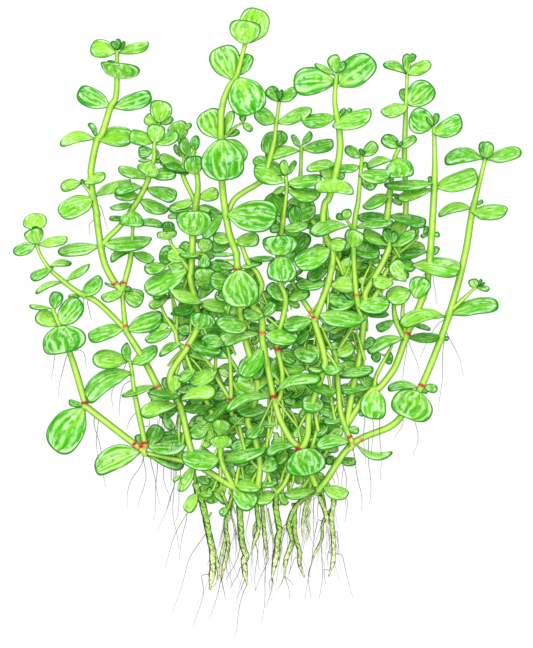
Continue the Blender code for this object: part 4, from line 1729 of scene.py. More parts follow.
ROOTING_STEMS = (
    RootingStem("rooting_stem_left", 2.3, "G", (
        (-24.4, 53.5, 9), (-23.4, 50, 8.5), (-22.3, 47.5, 7.6), (-21.5, 44.5, 6.6), (-20.1, 37.5, 4.6),
        (-18.7, 30.3, 3.2), (-18.6, 24, 2.4), (-19.5, 17, 1.9),
    )),
    RootingStem("rooting_stem_left_centre", 2.2, "O", (
        (-10.8, 53, 9), (-10, 49, 8.7), (-9.4, 45.5, 7.7), (-8.6, 33.8, 4.4), (-6.9, 28, 3.1),
        (-7.8, 28, 3.1), (-7.5, 22.5, 2.3), (-6.7, 18.8, 1.9),
    )),
    RootingStem("rooting_stem_centre", 2.15, "G", (
        (3.2, 53, 9), (3.2, 50.5, 9), (3, 45.5, 7.4), (4.2, 37.3, 4.8), (3.6, 34.7, 4.1), (3.3, 30, 3.2),
        (1.8, 21.3, 1.9),
    )),
    RootingStem("rooting_stem_right_centre", 1.7, "O", (
        (16.4, 51.6, 9), (11.4, 47.3, 8.6), (9.6, 45.4, 7.9), (7.6, 41, 6.5), (7.4, 38.8, 5.7),
        (8.4, 34.9, 4.4), (8.4, 33, 3.9), (6.5, 27.4, 2.6), (6, 21.6, 1.8),
    )),
    RootingStem("rooting_stem_right", 1.6, "P", (
        (20, 54, 9), (22.4, 49.5, 9), (22.4, 45, 7.7), (21.9, 41.5, 6.4), (22.7, 33.5, 4.1),
        (22.7, 28, 2.8), (22.3, 25.6, 2.4), (21, 21.5, 1.8),
    )),
    RootingStem("root_r1c", 1.6, "P", (
        (-18.7, 33, 3.5), (-16.7, 24, 1.6), (-16.6, 21.8, 1.3), (-17, 20.2, 1.2),
    )),
    RootingStem("root_r2", 1.6, "O", (
        (-11.4, 51.5, 8.8), (-13.8, 41, 5.6), (-14.1, 38, 4.8), (-13.3, 33.5, 3.6), (-13.4, 31, 3),
        (-15, 23.5, 1.5), (-15.2, 21, 1.2),
    )),
    RootingStem("root_r2b", 1.1, "P", ((-14, 35.6, 3.9), (-16.8, 24.2, 1.4))),
    RootingStem("root_r2c", 0.6, "P", ((-11.7, 46.5, 6.8), (-12.1, 42.5, 5.6), (-10, 35.6, 3.7))),
    RootingStem("root_r4", 1.6, "G", (
        (-3.1, 52.4, 8.8), (-3.5, 45.5, 7), (-2.9, 40, 5.4), (-3, 37.6, 4.7), (-5.1, 30.8, 3),
        (-5.1, 29.5, 2.7),
    )),
    RootingStem("root_r4b", 1.1, "O", (
        (-3, 41, 5.4), (-4, 39.2, 4.9), (-4.6, 37.2, 4.3), (-4.7, 35.3, 3.8), (-4.3, 34, 3.5),
    )),
    RootingStem("root_r5", 1.5, "O", (
        (-2.5, 52.6, 8.7), (-1.9, 48.5, 7.9), (-0.7, 34.5, 3.8), (0.5, 27.3, 2.2),
    )),
    RootingStem("root_r6b", 1.0, "P", ((4, 39.6, 4.9), (4.6, 37.5, 4.4), (4.2, 31.2, 2.8))),
    RootingStem("root_r7b", 0.7, "P", ((7.6, 42.6, 5.7), (7.3, 41.3, 5.3), (5.7, 38, 4.3))),
    RootingStem("root_r8", 1.6, "O", (
        (9.9, 46.6, 7.3), (9.5, 44.5, 6.7), (9.5, 36.3, 4.3), (11.1, 30, 2.8), (11.1, 26, 2),
        (12.8, 21.2, 1.2),
    )),
    RootingStem("root_r9", 1.2, "P", (
        (14.9, 50.4, 8.4), (13.3, 46.5, 7.1), (12.3, 41, 5.4), (12, 36.5, 4.2), (12.2, 35, 3.8),
    )),
    RootingStem("root_r9b", 1.0, "P", (
        (15.4, 50.2, 8.2), (13.9, 46, 6.8), (14.4, 43.6, 6.1), (13.6, 41.2, 5.4), (14.5, 37.3, 4.3),
        (13.5, 33.8, 3.4),
    )),
    RootingStem("root_r10", 1.0, "G", ((18.1, 51.4, 8.4), (19.3, 48.5, 7.6), (20.6, 38, 4.5))),
    RootingStem("root_r11", 1.1, "O", (
        (19.4, 53.2, 8.5), (22.4, 50.4, 8.3), (23.2, 47.6, 7.4), (22.7, 45.8, 6.8), (19.1, 40.4, 5.2),
        (18.7, 34.4, 3.6), (16.2, 29.2, 2.4), (15.1, 25.5, 1.6),
    )),
    RootingStem("root_cross_left", 0.75, "O", (
        (-19, 43.5, 6.5), (-20.6, 39.1, 5.2), (-17.8, 29.8, 2.9), (-16.1, 23.2, 1.6),
    )),
    RootingStem("root_thin_left", 0.55, "P", ((-11.7, 41.3, 5.8), (-10.3, 35.8, 4.2))),
    RootingStem("root_dark_left", 0.5, "O", (
        (-12.5, 41.7, 5.8), (-14.7, 38.9, 5), (-13.4, 33.4, 3.6), (-15.4, 24.5, 1.7),
    )),
    RootingStem("root_cross_centre", 0.55, "O", ((-2.4, 36.3, 4.4), (-5, 31.4, 3.1), (-5.5, 29.2, 2.6))),
    RootingStem("root_low_centre", 0.7, "P", ((4.5, 33.6, 3.7), (4.8, 29.8, 2.9), (4, 27, 2.3))),
    RootingStem("root_green_centre", 1.1, "G", (
        (8.7, 46.6, 7.6), (9.5, 43.5, 6.7), (8.1, 39.1, 5.4), (6, 38.7, 5.3), (4.3, 34.7, 4.2),
    )),
    RootingStem("root_cross_right", 0.6, "O", (
        (8, 40.5, 5.5), (9.3, 34.3, 3.9), (8.5, 30.7, 3), (7.1, 27.6, 2.3),
    )),
    RootingStem("root_wide_right", 1.7, "P", ((17.9, 49.1, 8.7), (20.1, 42.7, 6.7), (20.6, 37.8, 5.3))),
    RootingStem("root_loop_right", 0.8, "P", (
        (23.4, 46.6, 7.5), (22.5, 44.7, 6.9), (20.2, 42.9, 6.3), (19.1, 40.5, 5.6),
    )),
    RootingStem("root_pale_far_right", 0.6, "P", ((21.9, 41.7, 5.9), (23.2, 33.4, 3.6))),
    RootingStem("root_green_left", 1.3, "G", ((-15.4, 50.6, 9), (-12.9, 43.5, 6.8), (-13.9, 39.6, 5.6))),
    RootingStem("root_grey_middle", 0.6, "O", ((0.3, 44.9, 6.8), (2, 35.1, 4.1), (3.8, 29.8, 2.8))),
)
BROAD_LEAVES = (
    BroadLeaf("leaf_top_back", (-6.4, 203, 18.5), (-2.8, 214.8, 17.5), 10.4, 5, "L"),
    BroadLeaf("leaf_top_front", (-7.6, 202.6, 22.6), (-7.1, 210.4, 27), 10.4, 0, "L"),
    BroadLeaf("leaf_tall_left", (-11.2, 190.6, 18.6), (-16.2, 201.9, 18), 10.4, 8, "S"),
    BroadLeaf("leaf_tall_front", (-10, 191, 23), (-4.3, 178.8, 28), 12.6, 0, "S"),
    BroadLeaf("leaf_tall_back", (-16.2, 170.6, 21.4), (-20.6, 180.3, 20), 9.4, 8, "S"),
    BroadLeaf("leaf_tall_broad", (-15.3, 170.4, 26), (-14, 156.3, 30.5), 14.4, 0, "X"),
    BroadLeaf("leaf_centre_drooping", (-9.8, 126.2, 26.2), (-7.4, 113.4, 31), 12.6, 0, "X"),
    BroadLeaf("leaf_right_tall_inner", (22.8, 190.4, 18.6), (8.9, 189, 19.5), 9.6, 6, "S"),
    BroadLeaf("leaf_right_tall_outer", (24.4, 188.6, 18.6), (36, 197.8, 19.5), 10.4, 8, "S"),
    BroadLeaf("leaf_right_middle_top", (56.3, 174.9, 13), (48.7, 178.9, 13.5), 9, 8, "S"),
    BroadLeaf("leaf_right_back_top", (47.9, 182.5, 9.4), (56.4, 188.9, 9.8), 8.8, 8, "S"),
    BroadLeaf("leaf_left_outer_pair_left", (-53.4, 181.7, 9.2), (-64.4, 187.2, 9.6), 7.4, 25, "S"),
    BroadLeaf("leaf_left_outer_pair_right", (-52.4, 181.4, 9.2), (-39.3, 185.9, 9.6), 7.2, 36, "S"),
    BroadLeaf("leaf_left_outer_low", (-57.2, 134, 8.4), (-71.2, 132.2, 8.8), 8, 52, "S"),
    BroadLeaf("leaf_left_corner_broad", (-70.4, 107.2, 10.6), (-68.5, 98, 16), 15, 0, "X"),
    BroadLeaf("leaf_left_corner_top", (-70.8, 107.4, 8.9), (-63.9, 116.3, 9.4), 7.8, 10, "S"),
    BroadLeaf("leaf_left_corner_tip", (-62.4, 79.6, 7.4), (-72.2, 64.6, 6.6), 12, 5, "S"),
    BroadLeaf("leaf_runner_left", (-43, 64.4, 7), (-58.6, 58, 5.4), 8.6, 15, "Sa"),
    BroadLeaf("leaf_left_lower_right", (-47.6, 105.6, 8.6), (-35.5, 111, 9), 8.2, 40, "S"),
    BroadLeaf("leaf_right_outer_broad", (51.3, 85, 13.2), (47, 75.8, 18.6), 14.4, 0, "X"),
    BroadLeaf("leaf_right_outer_tip", (74.4, 163.8, 9), (86.6, 166.5, 10), 8, 50, "G"),
    BroadLeaf("leaf_right_outer_inner", (73.8, 163.8, 9), (60.3, 163, 10), 8, 47, "Ga"),
    BroadLeaf("leaf_right_outer_low", (62.4, 111, 10.8), (78.7, 114.6, 11.4), 8.4, 50, "G"),
    BroadLeaf("leaf_centre_low", (12.2, 65.6, 16.8), (14.4, 56.6, 21.4), 13.6, 0, "X"),
    BroadLeaf("leaf_left_centre_front", (-24.7, 137.6, 17.8), (-24.3, 146.2, 22.6), 12, 0, "M"),
    BroadLeaf("leaf_centre_short_front", (3.9, 130.8, 23.6), (4.2, 137.8, 27.8), 11.8, 0, "S"),
    BroadLeaf("leaf_left_upper_tip", (-78.7, 134.7, 7), (-86.5, 132.2, 7.4), 6.2, 42, "S"),
)
CLUSTERS = (
    LeafCluster("leaves_left_outer", ("stem_left_outer", "left_outer_spur"), (
        (-52, 200.3, -59.7, 202.2, 5.6, "Ls"), (-50.2, 200, -40.6, 203, 4.2, "Gs"),
        (-51.2, 201.5, -52.6, 204, 1.8, "Bs"), (-50.8, 201.5, -48.5, 203.9, 1.8, "Bs"),
        (-51.2, 202, -50.6, 204.8, 1.8, "Bs"), (-51, 191.3, -50, 196, 11.8, "Gf"),
        (-51, 193.4, -49.4, 196.2, 8.5, "Db"), (-58.8, 170.8, -70, 168.9, 4, "Lsa"),
        (-57.8, 170.8, -46.3, 172, 6.4, "Gs"), (-58.2, 171.3, -60.5, 176, 1.8, "Gsa"),
        (-59.3, 150.3, -70, 145.3, 7.2, "Vf"), (-58.3, 151.3, -46.8, 156.5, 4.2, "Ls"),
        (-55, 135, -40.1, 135.9, 5.3, "Vf"), (-63.3, 155.6, -69.9, 154, 3.6, "Lsa"),
        (-62.2, 155.8, -55.2, 158.2, 3.4, "Lf"), (-63, 155.6, -62.6, 157, 1.4, "Bs"),
    ), ("foliage_left_top",)),
    LeafCluster("leaves_left_inner", ("stem_left_inner", "left_upper_shoot"), (
        (-36.6, 176, -36.2, 183.2, 6.8, "Lf"), (-37.3, 175.8, -41.2, 178.2, 3.6, "Ls"),
        (-35.8, 175.6, -32, 177.6, 2.4, "Ds"), (-38.3, 169.2, -37, 175.2, 5.4, "Lf"),
        (-39, 169.5, -46.3, 172.3, 4.6, "Vs"), (-37.3, 168.8, -30.5, 172.6, 3.9, "Vs"),
        (-39.2, 166.5, -43.6, 166.2, 3.6, "Mb"), (-39.6, 163.3, -43.7, 163.3, 1.4, "Lb"),
        (-37.6, 167.3, -37, 163.5, 1.3, "Db"), (-37.5, 162.6, -35.9, 163, 1.2, "Ds"),
        (-39, 162.3, -40.6, 158.2, 7, "Lf"), (-42.5, 157.5, -49.9, 161, 3.6, "Gb"),
        (-39.2, 157.8, -31.2, 159.3, 4.2, "Vs"), (-42.1, 154, -51.3, 152.2, 3, "Gsa"),
        (-43.5, 151, -51.5, 152.3, 3.6, "Vs"), (-41, 153.8, -31.2, 151, 3.8, "Gs"),
        (-42.8, 149.4, -34, 146.4, 4.4, "Vs"), (-45.5, 148.3, -53.1, 147.3, 2.6, "Gs"),
        (-49.5, 144.5, -53.5, 144, 1.8, "Db"), (-45.8, 146.3, -45.6, 140.8, 7.2, "Vf"),
        (-49.8, 143.8, -53.5, 143.7, 1.8, "Ds"), (-29, 170, -31.2, 176.4, 6.5, "Gb"),
        (-27.8, 173.5, -26, 176, 1.6, "Gs"), (-26.2, 164.2, -28.6, 170.6, 3, "Gf"),
        (-29.5, 164.5, -31, 168.8, 2.2, "Lb"), (-28.4, 160.2, -36, 165, 4.6, "Lb"),
        (-26.5, 159.5, -34.8, 162.7, 2.8, "Ds"), (-26.3, 158.8, -33, 160.3, 1.5, "Ds"),
    )),
    LeafCluster("leaves_left_side", ("stem_left_side", "stem_left_lower"), (
        (-45, 141, -35.5, 141, 2.3, "Gsa"), (-45.7, 132.2, -53, 129.5, 2.4, "Gsa"),
        (-45.6, 131.8, -38.8, 129.3, 3.2, "Vs"), (-51.8, 120.5, -55.2, 121.8, 1.2, "Gs"),
        (-49.2, 119, -55.8, 116.2, 3.4, "Vf"), (-49, 118.5, -42.4, 116, 5.4, "Mb"),
        (-49, 120, -46.3, 119.5, 2, "Ds"), (-49.7, 121, -49.3, 122.3, 1, "Ds"),
        (-49.3, 106.1, -60.4, 103.6, 4.6, "Vs"),
    )),
    LeafCluster("leaves_left_corner", ("runner_left_upper", "stem_left_corner"), (
        (-78.9, 139.6, -79.3, 145.3, 7.4, "Lb"), (-78.8, 139.4, -79, 141, 2, "Bs"),
        (-78.3, 135, -79.7, 140, 5.8, "Lf"), (-77.6, 135, -68.4, 137, 3.6, "Ls"),
        (-73.8, 127.5, -66.8, 128.3, 2.2, "Lsa"), (-72.6, 127.2, -80.3, 123.6, 2.6, "Gs"),
        (-68, 122.8, -60.7, 128, 3, "Ls"), (-69.3, 121.8, -78.4, 118.2, 1.8, "Lsa"),
        (-62.9, 117.1, -56.8, 123.5, 4.6, "Gs"), (-63.5, 117, -67.5, 117.5, 1.6, "Lb"),
        (-72, 113, -71.3, 118.6, 4.4, "Ds"), (-74.6, 113, -80.7, 113.9, 1.8, "Gs"),
        (-71.8, 107, -78, 111.3, 4.8, "Ls"), (-62.5, 80.2, -67.4, 81.4, 2, "Gs"),
    ), ("foliage_left_low",)),
    LeafCluster("leaves_left_short", ("stem_left_short", "stem_left_lower"), (
        (-48.3, 94.6, -58.9, 96, 5, "Vs"), (-47.2, 94.8, -48.2, 101, 3.2, "Gf"),
        (-46, 94.3, -37.6, 99.3, 4.8, "Vf"), (-45.8, 91, -60.8, 82.4, 6, "Vsa"),
        (-42.6, 66.3, -44, 70, 2.6, "Db"), (-40.5, 66, -36.8, 72.8, 5, "Db"),
        (-40.2, 66, -28, 67.8, 7, "Xs"), (-39.8, 61.8, -28.8, 59.6, 3.6, "Gb"),
        (-38, 86.3, -49, 83.6, 2.8, "Gb"),
    )),
    LeafCluster("leaves_left_middle", ("left_middle_shoot", "left_low_shoot", "left_low_back_shoot"), (
        (-34, 139.5, -33.8, 142.6, 3.8, "Db"), (-33.6, 136.4, -34, 139.2, 6.2, "Lf"),
        (-25.5, 132, -29.5, 134.4, 4.2, "Db"), (-29.8, 130, -36.3, 131.8, 6.4, "Db"),
        (-34, 127.2, -41.4, 126.7, 3.4, "Gs"), (-27, 126, -40.5, 119.2, 6.2, "Vs"),
        (-33.8, 119, -38.6, 116.6, 1.6, "Ls"), (-34.2, 116.8, -39.7, 113.6, 2.6, "Ls"),
        (-32.2, 105.9, -41, 102.3, 3.9, "Vs"), (-30.6, 106, -26, 106, 3.8, "Ds"),
        (-28.5, 100.8, -36.2, 97, 2.6, "Vsa"),
    )),
    LeafCluster("leaves_left_centre", ("stem_left_centre", "left_crown_shoot", "centre_left_shoot"), (
        (-24.5, 166.5, -24.2, 171.6, 3.2, "Ds"), (-24.2, 158.4, -25, 164.5, 6, "Gf"),
        (-23, 150.5, -16.8, 152.6, 4, "Ls"), (-25, 149.5, -32.7, 147.5, 3.6, "Lb"),
        (-24.5, 147, -33.2, 146.8, 1.9, "Gs"), (-28, 145.3, -33.5, 144.5, 2, "Lb"),
        (-23, 147.3, -15.5, 145, 4, "Db"), (-22.5, 147.3, -19.3, 146, 2, "Ls"),
        (-15.5, 144.5, -21.5, 137.5, 3.5, "Db"), (-21.3, 132, -20.7, 136.8, 4.6, "Lf"),
        (-22.5, 131, -29.6, 131.2, 1.8, "Gf"), (-21, 131.8, -21.2, 126.8, 3.6, "Mf"),
        (-22.5, 127.5, -25, 124.5, 2.4, "Db"), (-21.5, 121.4, -21, 126.4, 7, "Gf"),
        (-11.4, 120.4, -18.8, 123.4, 5.2, "Df"), (-24, 117.5, -27.5, 121.5, 4, "Db"),
        (-21.8, 115, -32.3, 118, 4.2, "Lo"), (-21.5, 115, -12.1, 113.7, 4.6, "Vs"),
        (-24, 113.5, -31.5, 112, 4, "Ds"), (-22.8, 106, -22, 111.4, 8, "Mf"),
        (-26.5, 108.8, -32.6, 111.2, 1.4, "Lsa"), (-19.5, 111.5, -22.3, 113, 2.6, "Db"),
        (-10.5, 111, -17, 110.8, 2.4, "Db"), (-6.6, 107.5, -16.2, 107.2, 6, "Vo"),
        (-24, 98.5, -25.5, 103, 3, "Gs"), (-19, 97, -20, 104.5, 4, "Db"),
        (-20, 94.8, -26.8, 97.6, 1.6, "Ls"), (-34, 85, -34.3, 89.5, 3, "Db"),
        (-31, 85, -31.3, 90.4, 4.4, "Lf"), (-29.4, 83.5, -39.5, 84, 3.2, "Do"),
        (-30.3, 80, -42.2, 76.8, 4, "Lfa"), (-30.3, 79, -36.5, 77, 3.4, "Db"),
        (-29.6, 81.2, -17.9, 83.9, 3.4, "Loa"), (-28.6, 78.6, -18, 81, 5, "Ds"),
        (-28.8, 82.5, -25, 87, 3.4, "Db"), (-20, 72.4, -26.3, 70.8, 5.2, "Gs"),
        (-35, 77.5, -32.3, 71.8, 2.8, "Mf"), (-29.3, 77, -30.2, 74.7, 1.6, "Db"),
        (-16.8, 92.6, -26.2, 88.3, 4.6, "Lf"), (-24.2, 92.6, -29.8, 88.6, 3.6, "Gs"),
        (-13.4, 81.8, -21, 75.5, 3.4, "Ds"),
    )),
    LeafCluster("leaves_centre_tall", ("stem_centre_tall", "tall_spur"), (
        (-9.5, 192, -6.3, 199, 5, "Gb"), (-14.5, 170.8, -12.6, 179.5, 3.8, "Lb"),
        (-14.5, 169.6, -7.8, 163.4, 6.4, "Vb"), (-13.4, 144.8, 2.5, 144, 9.8, "Xf"),
        (-9.6, 136, -3, 137, 4, "Ls"), (-11.5, 136, -18, 137.4, 3.4, "Ls"),
        (-12.8, 134, -18.3, 133, 3, "Db"), (-11.8, 131, -18.5, 131, 1.6, "Ls"),
        (-14.5, 129.2, -17.5, 129.4, 0.9, "Ds"), (-10.8, 126.7, -16, 127, 1.8, "Gs"),
        (-6, 129.8, 2.3, 130, 2.2, "Db"), (-8.9, 126.4, -2, 128.9, 2, "Ms"),
        (-10, 125, -13.7, 124.2, 1.5, "Ms"), (-10, 115, -15.7, 119, 3, "Lb"),
        (-1, 110.8, -7.9, 110.8, 3.8, "Vf"), (-3, 105.8, -6, 107, 2.6, "Db"),
        (-8, 176, -8.1, 178.8, 2.2, "Ds"), (-7.3, 175.5, -5, 173.4, 2.4, "Ls"),
        (-13.5, 171, -9.7, 173.3, 2, "Gb"),
    )),
    LeafCluster("leaves_centre_back", ("stem_centre_back", "stem_centre_slim"), (
        (4, 183.3, 0.6, 188, 3.8, "Gs"), (4.5, 183.3, 9.7, 187.5, 4, "Gs"),
        (3.9, 184, 3.4, 187.8, 1, "Bs"), (4.5, 184, 5, 187.4, 1, "Bs"), (2.7, 176, -3.6, 180.3, 5, "Vs"),
        (3.6, 176, 14.7, 180.5, 4.8, "Vs"), (0.4, 165.3, 0.8, 172.8, 5, "Du"),
        (3.2, 167.8, 5, 173.2, 4.4, "Du"), (4, 163.5, 6.3, 165, 1.5, "Gb"),
        (11.2, 166.5, 0.2, 164.4, 3.6, "Vfa"), (12.3, 167.2, 22.3, 169.3, 4.4, "Gs"),
        (11, 167.7, 8.7, 172, 2.4, "Gs"), (12, 169, 14.8, 173, 2.2, "Gs"),
        (25.2, 129.5, 24.8, 122, 1.4, "Ds"),
    ), ("foliage_centre_top",)),
    LeafCluster("leaves_centre_short", ("stem_centre_short",), (
        (5.8, 155.9, -4, 160, 4.6, "Vf"), (5.2, 159.3, -3.6, 164.2, 4.6, "Vb"),
        (7.2, 155.6, 18, 157, 4.8, "Vf"), (6.5, 158, 5.3, 163.1, 3, "Lf"),
        (7.5, 159, 9.6, 163, 2.2, "Ds"), (7.8, 153, 17.4, 151.3, 4.2, "Vf"),
        (8, 154.3, 12.2, 153.4, 1.3, "Ds"), (6, 154.3, 2.2, 151.8, 2.4, "Ls"),
        (3.5, 144.5, 1, 151.5, 7.5, "Db"), (6.3, 140, 13.7, 140.9, 3.6, "Mf"),
        (4.4, 139.8, 1, 140.5, 3.2, "Ms"), (4.6, 141.5, 3.2, 144.3, 1.8, "Ms"),
        (9, 131, 13, 138.5, 5, "Db"), (12, 141, 21.3, 143.3, 5, "Db"), (10, 140, 9.8, 147.5, 4.5, "Db"),
        (4.6, 131, 5.2, 122.4, 8.8, "Mf"), (2.5, 130, 1.8, 123, 4, "Gb"),
        (9.9, 124, 12, 126.5, 1.4, "Mb"), (6.4, 115.5, 0.8, 121.2, 4.6, "Vs"),
        (5.5, 114, -1, 118.5, 4.5, "Db"), (7, 116, 14, 119, 4.2, "Vs"), (6.9, 116, 6.9, 119.8, 1.4, "Bs"),
        (7.5, 115, 11, 114, 2, "Lb"), (0, 110.8, 2.5, 115, 3.6, "Ms"), (5.2, 99, 9.6, 95.4, 4.4, "Db"),
        (13.4, 86.4, 7.4, 83.4, 3.6, "Gb"), (8.8, 98.6, 17, 97.4, 5.8, "Mf"),
        (14, 106, 10.2, 101.5, 4, "Db"), (13, 92.6, 6, 93, 3.2, "Ls"),
        (19.5, 91.8, 13.9, 92.6, 1.6, "Lf"),
    )),
    LeafCluster("leaves_centre_front", (
        "stem_centre_front", "centre_front_thin_spur", "centre_front_back_spur",
        "centre_front_right_spur",
    ), (
        (-3, 104, -14.2, 100.6, 3.4, "Vsa"), (-2.3, 103, -5.3, 101.6, 2.2, "Gb"),
        (-0.6, 104, 9.9, 102.9, 5.4, "Vf"), (-0.5, 107.5, 1.2, 105.5, 1.6, "Db"),
        (-1.6, 99.8, -8.4, 90.6, 6, "Gs"), (-1.5, 94, -4.8, 89.5, 3, "Gb"), (1.5, 95, 3.3, 89.5, 3, "Db"),
        (3.2, 84.3, 17.7, 88.6, 4, "Vfa"), (1, 82.6, -13, 78.3, 3.8, "Vfa"),
        (-0.5, 83.5, -1.8, 87, 2.6, "Gb"), (4, 82.5, 8.5, 85, 3, "Db"), (-1, 80, -9.4, 77.4, 4.2, "Mo"),
        (10.4, 66, 0.2, 63.2, 2.4, "Gfa"), (-14.8, 61.2, -0.6, 65.4, 4.8, "Vf"),
        (3.2, 61, 7.4, 63.2, 3.6, "Lo"), (-1.9, 58.2, 3.2, 61.4, 4.6, "Go"),
        (0, 63.2, 3, 63.4, 1.4, "Mb"), (-6.5, 61.3, -11, 60, 2.8, "Lo"), (10.5, 71, 8.5, 74.5, 3.4, "Db"),
        (3.3, 71, 3.2, 68.3, 2, "Ls"), (2.2, 74, 3.2, 76, 2, "Db"), (-1.2, 74, -6, 69, 4.6, "Go"),
        (8, 74, 6, 77, 2.6, "Db"), (11.5, 78.5, 12.5, 75.5, 2.6, "Db"),
    ), ("foliage_centre_low",)),
    LeafCluster("leaves_right_tall", ("stem_right_tall", "stem_centre_slim"), (
        (23.6, 193, 22.4, 198.8, 3.6, "Gf"), (23.6, 193, 26.3, 196.6, 2.6, "Df"),
        (22.3, 189, 14.3, 187, 3, "Lb"), (22.3, 192, 16.5, 196, 2, "Lb"),
        (22.8, 177.6, 12, 177.2, 5, "Gs"), (22, 174.8, 34.8, 178.8, 5.6, "Vf"),
        (25.5, 178.5, 26.5, 180.8, 1.6, "Bb"), (27.3, 179, 28.4, 181, 1.4, "Bb"),
        (23.3, 161.8, 13.8, 160.8, 4, "Gb"), (21.3, 156.3, 19.5, 161.8, 4.6, "Lb"),
        (23.5, 158.5, 26.3, 157.8, 2.6, "Mb"), (23.2, 157, 22.6, 152, 11.6, "Lf"),
        (19.8, 132.8, 9.9, 128.2, 7, "Vf"), (21.5, 127, 13.8, 123.5, 3.6, "Db"),
        (19.3, 121.8, 10.1, 121.2, 4.4, "Ms"), (10.5, 124.3, 13.3, 122.7, 1.8, "Db"),
        (14.8, 109.3, 5.6, 107.3, 5, "Gs"), (17.6, 110.8, 32, 108.6, 5.8, "Vf"),
        (19.4, 80.4, 12, 81, 5.6, "Vo"), (21.6, 85.2, 14, 86.6, 4.4, "Go"),
        (26.3, 93.6, 18.9, 92.4, 3.9, "Vo"), (23, 97, 29, 100.8, 4.6, "Ls"),
        (25, 106.8, 21, 104, 3, "Db"), (21, 72, 15.2, 71.8, 4.2, "Db"), (23.5, 74, 19.2, 74.8, 2.4, "Ms"),
        (11, 66.8, 13, 69.8, 3, "Lb"),
    )),
    LeafCluster("leaves_right_inner", (
        "stem_right_inner", "right_inner_spur", "right_thin_shoot", "stem_right_short",
    ), (
        (31.7, 164.2, 26.8, 167.5, 3.4, "Gs"), (32.7, 164.7, 36.8, 169.2, 4, "Vs"),
        (32, 165, 31.8, 167.3, 1, "Bs"), (32.4, 165, 33, 166.6, 1, "Bs"),
        (32.8, 160.8, 33.5, 162.8, 1.6, "Gb"), (31.3, 161.2, 22.8, 160.6, 3.6, "Vs"),
        (31.2, 158.3, 41.5, 158.5, 4.8, "Vf"), (35, 158, 36.8, 154.3, 5, "Gb"),
        (28.2, 140.4, 15.6, 137.8, 3.6, "Goa"), (30.6, 140.3, 42.3, 142.3, 3.4, "Gs"),
        (20.8, 135.4, 26.6, 134.6, 4.6, "Lf"), (28.8, 133.6, 30.5, 139.2, 6, "Lf"),
        # Painted shade: the small dark leaf at 28.5, 133.5 stands for the shade behind the round leaf.
        (28.5, 133.5, 25.5, 131.8, 2, "Db"), (30.4, 132, 38, 132.5, 4.8, "Db"),
        (35.5, 130.3, 35.3, 127.7, 4.6, "Lb"), (33.5, 128, 30.4, 126.8, 2.2, "Db"),
        (29.5, 115.5, 26.8, 121, 4, "Db"), (26, 143.6, 23.6, 144.8, 2.2, "Ds"),
        (27.2, 143, 26.8, 146.6, 3.2, "Ls"), (29, 114.8, 20.2, 114.8, 4.6, "Vs"),
        (30.2, 114.2, 41.2, 114.6, 6.2, "Vs"), (30.5, 113.5, 40.8, 111.3, 4, "Db"),
        (24.8, 90.2, 35.7, 92.3, 2.8, "Vf"), (26.3, 89.5, 34.3, 90.8, 2.2, "Db"),
        (35.6, 86, 25.2, 85.8, 2.8, "Gs"), (28, 126.5, 26.5, 130.8, 3.6, "Db"),
    )),
    LeafCluster("leaves_right_short", ("stem_right_short", "right_cross_spur"), (
        (45, 168, 39.3, 171, 4.6, "Gs"), (45.7, 168, 50.5, 171.2, 3.2, "Gs"),
        (44.8, 168.5, 44.2, 170.2, 1.2, "Bs"), (45.3, 168.5, 45.9, 170, 1.2, "Bs"),
        (42.7, 163.2, 34.2, 161, 3, "Lsa"), (44.6, 164, 46, 157.6, 8.4, "Vf"),
        (41.6, 151.5, 33, 147.5, 4.4, "Gs"), (42.8, 152, 45.8, 150.5, 1.6, "Ds"),
        (43, 149.8, 46, 149, 2, "Mb"), (41, 144.3, 31.3, 144.5, 3.4, "Db"),
        (42, 144.3, 53.7, 142.5, 3.8, "Db"), (41.2, 134.4, 33, 138.8, 3.6, "Lf"),
        (42.3, 134.3, 50.3, 138.8, 4, "Vf"), (41.5, 135, 40.2, 139.9, 3.2, "Df"),
        (42, 135, 43.8, 138.9, 2.6, "Df"), (50.3, 138, 50, 141.3, 2.6, "Lb"),
        (43, 121.8, 36, 122, 4.8, "Lf"), (47.2, 122.3, 42.8, 128.8, 5, "Vf"),
        (44.5, 129.8, 50.2, 126.8, 4, "Vs"), (49, 118.9, 41.3, 116, 6, "Lf"),
        (30.3, 80.5, 31.5, 83, 2.6, "Gb"),
    )),
    LeafCluster("leaves_right_back", ("stem_right_back",), (
        (47, 193.2, 39.8, 196, 2.8, "Gsa"), (47.8, 192.8, 55.4, 196.6, 4.6, "Ls"),
        (47.3, 195, 47.6, 199.7, 2.4, "Gs"), (48.7, 196.5, 50, 199.7, 2, "Bs"),
        (47.3, 183, 46.7, 187.8, 3, "Gb"), (48, 182, 39.4, 179.4, 4.6, "Lf"),
        (43.4, 109, 37.4, 106.3, 2.4, "Ms"),
    )),
    LeafCluster("leaves_right_middle", ("stem_right_middle", "right_middle_low_shoot"), (
        (56.4, 172.6, 65.8, 176.9, 5.4, "Vf"), (56, 175, 54.6, 178.2, 1.8, "Bs"),
        (56.8, 175.5, 57.8, 179.3, 1.8, "Bs"), (57.7, 154.2, 70.8, 158.8, 5.6, "Gs"),
        (56.6, 155.6, 40.4, 154.8, 3.4, "Gf"), (56.2, 153.6, 45, 150.2, 3.6, "Lf"),
        (56.2, 154.5, 55.3, 157.9, 1.6, "Ds"), (53.5, 138, 54.3, 141, 1.6, "Ds"),
        (54.9, 138.5, 52.3, 137.6, 1.5, "Ms"), (56.8, 138, 58.6, 138.4, 1.8, "Gs"),
        (56.3, 131, 58, 134, 2.4, "Mb"), (54.8, 132.2, 42.5, 131.5, 3.4, "Db"),
        (49.4, 128, 65, 126.4, 6, "Vf"), (50.4, 116.6, 53.3, 123.2, 6.4, "Vf"),
        (50, 118, 49.6, 121.6, 2.4, "Db"), (50, 107, 55.4, 106.2, 1.8, "Mb"),
